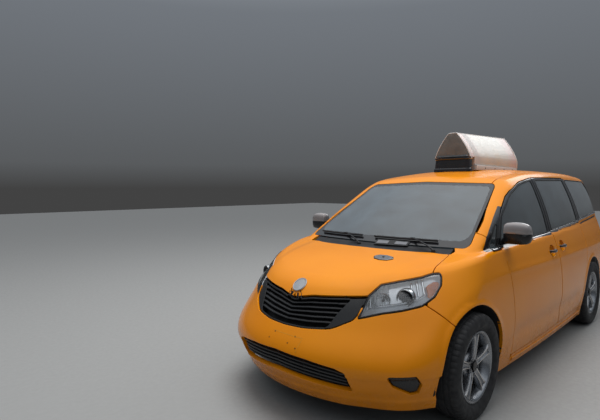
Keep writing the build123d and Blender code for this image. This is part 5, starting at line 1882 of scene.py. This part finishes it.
# Seats: crowned pads filled by a cloth simulation, then stitched
def woven_cloth():
    m = Nodes("seat_cloth", Roughness=0.9, Sheen_Weight=0.35)
    waves = []
    for direction, scale in (("X", 95.0), ("Y", 95.0), ("Z", 80.0)):
        wave = m.node("ShaderNodeTexWave", bands_direction=direction)
        wave.inputs["Scale"].default_value = scale
        m.link(m.coordinates, wave.inputs["Vector"])
        waves.append(wave.outputs["Fac"])
    weave = m.math("MULTIPLY", m.math("ADD", waves[0], waves[1]), waves[2])
    m.color(m.mix(m.ramp(weave, 0.0, 2.0, 0.0, 1.0), (0.085, 0.080, 0.076), (0.150, 0.143, 0.135)))
    m.roughness(m.ramp(m.noise(6.0, 4.0), 0.3, 0.7, 0.82, 0.95))
    m.bump(weave, 0.0006, 0.5)
    return m.material


def inflate(obj, limit, frames=20):
    """Press a pad out from inside, no point moving further than the limit, and keep the result."""
    obj.modifiers.new("remesh", "REMESH").voxel_size = 0.014
    cloth = obj.modifiers.new("cloth", "CLOTH")
    cloth.settings.use_pressure = True
    cloth.settings.uniform_pressure_force = 4.0
    cloth.settings.effector_weights.gravity = 0.0
    shapes = []
    for frame in range(1, frames + 1):
        bpy.context.scene.frame_set(frame)
        if frame in (1, frames):
            seen = obj.evaluated_get(bpy.context.evaluated_depsgraph_get())
            shapes.append(bpy.data.meshes.new_from_object(seen))
    bpy.context.scene.frame_set(1)
    before, after = (np.array([v.co for v in mesh.vertices]) for mesh in shapes)
    step = after - before
    length = np.maximum(np.linalg.norm(step, axis=1), 1e-9)
    shapes[0].vertices.foreach_set("co", (before + step * np.minimum(1, limit / length)[:, None]).ravel())
    obj.modifiers.clear()
    obj.data = shapes[0]
    bpy.data.meshes.remove(shapes[1])


def pad(name, outline, low, high, radius, seams, bolster=0.0, shrink=0.012):
    """A stuffed pad. Its side outline is carried across the car with rounded ends, filled and stitched.
    seams are distances from its middle, and what lies outside them stands up by the bolster."""
    path = left_turning(dense(rounded(outline, radius), 0.014))
    middle, half, edge = (low + high) / 2, (high - low) / 2 - shrink, 0.8 * radius
    count = max(3, int((high - low) / 0.02))
    rings = []
    for y in np.concatenate([half - edge + edge * np.sin(np.linspace(math.pi / 2, 0, 7)),
                             np.linspace(half - edge, edge - half, count)[1:-1],
                             edge - half - edge * np.sin(np.linspace(0, math.pi / 2, 7))]):
        over = max(0.0, abs(y) - (half - edge)) / edge
        ring = inset(path, shrink + edge * (1 - math.sqrt(max(0.0, 1 - over * over))) * 0.9)
        rings.append(np.column_stack([ring[:, 0], np.full(len(ring), middle + y), ring[:, 1]]))
    parts = Parts()
    parts.loft(rings)
    obj = parts.build(name, [CLOTH], angle=3.0)
    inflate(obj, 0.024)
    for polygon in obj.data.polygons:
        polygon.use_smooth = True
    obj.modifiers.new("smooth", "SUBSURF").levels = 1
    obj.modifiers[0].render_levels = 1
    smooth = bpy.data.meshes.new_from_object(obj.evaluated_get(bpy.context.evaluated_depsgraph_get()))
    obj.modifiers.clear()
    obj.data = smooth
    mesh = obj.data
    coated(mesh, CLOTH)
    place = np.array([v.co for v in mesh.vertices])
    normal = np.array([v.normal for v in mesh.vertices])
    away = np.abs(place[:, 1] - middle)
    move = bolster * smooth_step(away, seams[-1], seams[-1] + 0.05)
    for seam in seams:
        move -= 0.009 * np.exp(-((away - seam) / 0.010) ** 2)
    mesh.vertices.foreach_set("co", (place + move[:, None] * normal).ravel())
    return obj


def moved(outline, x, z):
    return [(a / 1000 + x, b / 1000 + z) for a, b in outline]


def seats():
    # Side outlines in mm from each seat's middle and the floor
    cushion = [(-158, 186), (244, 186), (256, 314), (-158, 290)]
    back = [(-246, 206), (-138, 240), (-252, 846), (-352, 846)]
    head = [(-374, 842), (-281, 842), (-304, 1014), (-391, 1014)]
    fittings = Parts()
    for row, x, side_y, width in (("front", 0.270, 0.400, 0.520), ("middle", -0.620, 0.370, 0.500)):
        node = "front_seats" if row == "front" else "rear_seats"
        for s, word in TWO_SIDES:
            low, high = s * side_y - width / 2, s * side_y + width / 2
            for part, outline, inset_y, radius, seams, bolster in (
                ("cushion", cushion, 0.004, 0.045, (0.150,), 0.008),
                ("back", back, 0.018, 0.042, (0.055, 0.150), 0.008),
                ("head_rest", head, width / 2 - 0.130, 0.036, (0.085,), 0.0),
            ):
                obj = pad(f"{row}_{part}_{word}", moved(outline, x, FLOOR_Z), low + inset_y, high - inset_y,
                          radius, seams, bolster, 0.006 if part == "head_rest" else 0.012)
                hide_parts(node)
            middle = s * side_y
            plan = rounded([(-0.185, -1), (0.175, -1), (0.175, 1), (-0.185, 1)], 0.03)
            box = [np.array([(x + a, middle + b * (width / 2 - 0.065), z) for a, b in plan])
                   for z in (0.308, 0.330, 0.480, 0.492)]
            fittings.loft(box, 0)
            for rod in (-0.055, 0.055):
                fittings.loft([oval((x + a, middle + rod, FLOOR_Z + b), X, Y, 0.006, 0.006, 2.0, 14)
                               for a, b in ((-0.300, 0.835), (-0.325, 0.870))], 1)
    bench = [(-1.852, 0.484), (-1.392, 0.484), (-1.378, 0.614), (-1.852, 0.596)]
    bench_back = [(-1.856, 0.500), (-1.748, 0.560), (-1.862, 1.124), (-1.944, 1.124)]
    bench_head = [(-1.952, 1.124), (-1.876, 1.124), (-1.893, 1.284), (-1.966, 1.284)]
    for part, outline, reach, radius, seams in (("bench_cushion", bench, 0.556, 0.042, (0.018, 0.330)),
                                                ("bench_back", bench_back, 0.550, 0.036, (0.018, 0.330))):
        obj = pad(part, outline, -reach, reach, radius, seams)
        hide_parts("rear_seats")
    for s, word in TWO_SIDES:
        low, high = s * 0.330 - 0.118, s * 0.330 + 0.118
        obj = pad(f"bench_head_rest_{word}", bench_head, low, high, 0.032, (0.080,), 0.0, 0.006)
        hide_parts("rear_seats")
    plan = rounded([(-1.795, -1), (-1.425, -1), (-1.425, 1), (-1.795, 1)], 0.03)
    box = [np.array([(a, b * 0.495, z) for a, b in plan]) for z in (0.308, 0.330, 0.470, 0.482)]
    fittings.loft(box, 0)
    fittings.build("seat_frames", [PLASTIC, CHROME], nodes=("front_seats", "rear_seats"), angle=0.7)


CLOTH = woven_cloth()
seats()


def centre_posts():
    """The posts between the doors."""
    # Height, shift along the car, outer and inner distance from the middle
    sections = [(0.200, 0.0, 0.864, 0.846), (0.700, 0.0, 0.890, 0.852), (1.070, 0.010, 0.810, 0.774),
                (1.120, 0.014, 0.822, 0.780), (1.640, 0.112, 0.674, 0.640)]
    post = Parts()
    post.loft([np.array([(-0.235 + shift, far, z), (-0.095 + shift, far, z), (-0.095 + shift, near, z),
                         (-0.235 + shift, near, z)]) for z, shift, far, near in sections])
    for s, word in TWO_SIDES:
        post.build(f"centre_post_{word}", [PLASTIC], flip=s < 0, nodes=(f"body_side_{word}",), angle=0.5)


centre_posts()

# Carried CAD pieces
for material, names in (
    (UNDERSEAL, ("floor_pan", "fuel_tank")), (TRIM, ("dashboard", "steering_wheel")),
    (STEEL, ("front_subframe", "rear_axle", "exhaust", "engine", "knuckle_left", "knuckle_right")),
):
    for name in names:
        coated(frame["nodes"][name].data, material)


# Floor, light and camera
def studio():
    bpy.ops.mesh.primitive_plane_add(size=60, location=(0, 0, 0))
    floor = bpy.context.object
    floor.name = "floor"
    pale = plain("pale_floor", (0.27, 0.27, 0.265), 0.7, 0.0, 30.0, 0.0005, 0.97)
    floor.data.materials.append(pale)
    bpy.context.scene.view_settings.view_transform = "Standard"
    world = bpy.data.worlds.new("studio")
    bpy.context.scene.world = world
    world.use_nodes = True
    tree = world.node_tree
    coordinates = tree.nodes.new("ShaderNodeTexCoord")
    split = tree.nodes.new("ShaderNodeSeparateXYZ")
    ramp = tree.nodes.new("ShaderNodeValToRGB")
    tree.links.new(coordinates.outputs["Generated"], split.inputs["Vector"])
    tree.links.new(split.outputs["Z"], ramp.inputs["Fac"])
    stops = [(0.0, (0.05, 0.05, 0.05)), (0.05, (0.09, 0.095, 0.10)), (0.35, (0.15, 0.165, 0.185)),
             (0.65, (0.42, 0.46, 0.50)), (1.0, (1.1, 1.1, 1.1))]
    ramp.color_ramp.elements[0].position, ramp.color_ramp.elements[1].position = stops[0][0], stops[-1][0]
    for position, _ in stops[1:-1]:
        ramp.color_ramp.elements.new(position)
    for element, (_, color) in zip(ramp.color_ramp.elements, stops):
        element.color = (*color, 1.0)
    tree.links.new(ramp.outputs["Color"], tree.nodes["Background"].inputs["Color"])
    tree.nodes["Background"].inputs["Strength"].default_value = 1.1
    for name, place, size, power, aim in (
        ("key", (1.0, -1.0, 8.5), 6.0, 640.0, (0.5, 0.0, 0.8)),
        ("side", (3.0, 8.0, 6.5), 5.0, 10.0, (0.5, 0.0, 1.0)),
        ("back", (-8.0, 1.0, 6.5), 5.0, 130.0, (-1.0, 0.0, 1.0)),
    ):
        data = bpy.data.lights.new(name, "AREA")
        data.shape, data.size, data.energy = "DISK", size, power
        lamp = bpy.data.objects.new(name, data)
        bpy.context.collection.objects.link(lamp)
        lamp.location = place
        lamp.visible_glossy = name != "key"
        lamp.rotation_euler = (Vector(aim) - Vector(place)).to_track_quat("-Z", "Y").to_euler()


def camera():
    """The photo's own view: place, turn, tilt, roll and field."""
    photo_width, focal_pixels, sensor = 600, 459.4, 36.0
    data = bpy.data.cameras.new("camera")
    data.sensor_width = sensor
    data.lens = sensor * focal_pixels / photo_width
    data.clip_end = 200
    obj = bpy.data.objects.new("camera", data)
    bpy.context.collection.objects.link(obj)
    yaw, pitch, roll = (math.radians(a) for a in (224.61, -2.77, -0.16))
    ahead = Vector((math.cos(pitch) * math.cos(yaw), math.cos(pitch) * math.sin(yaw), math.sin(pitch)))
    right = ahead.cross(Vector((0, 0, 1))).normalized()
    up = right.cross(ahead)
    x = math.cos(roll) * right + math.sin(roll) * up
    y = -math.sin(roll) * right + math.cos(roll) * up
    turned = Matrix((x, y, -ahead)).transposed().to_4x4()
    obj.matrix_world = Matrix.Translation((4.556, 2.227, 1.552)) @ turned
    bpy.context.scene.camera = obj


studio()
camera()
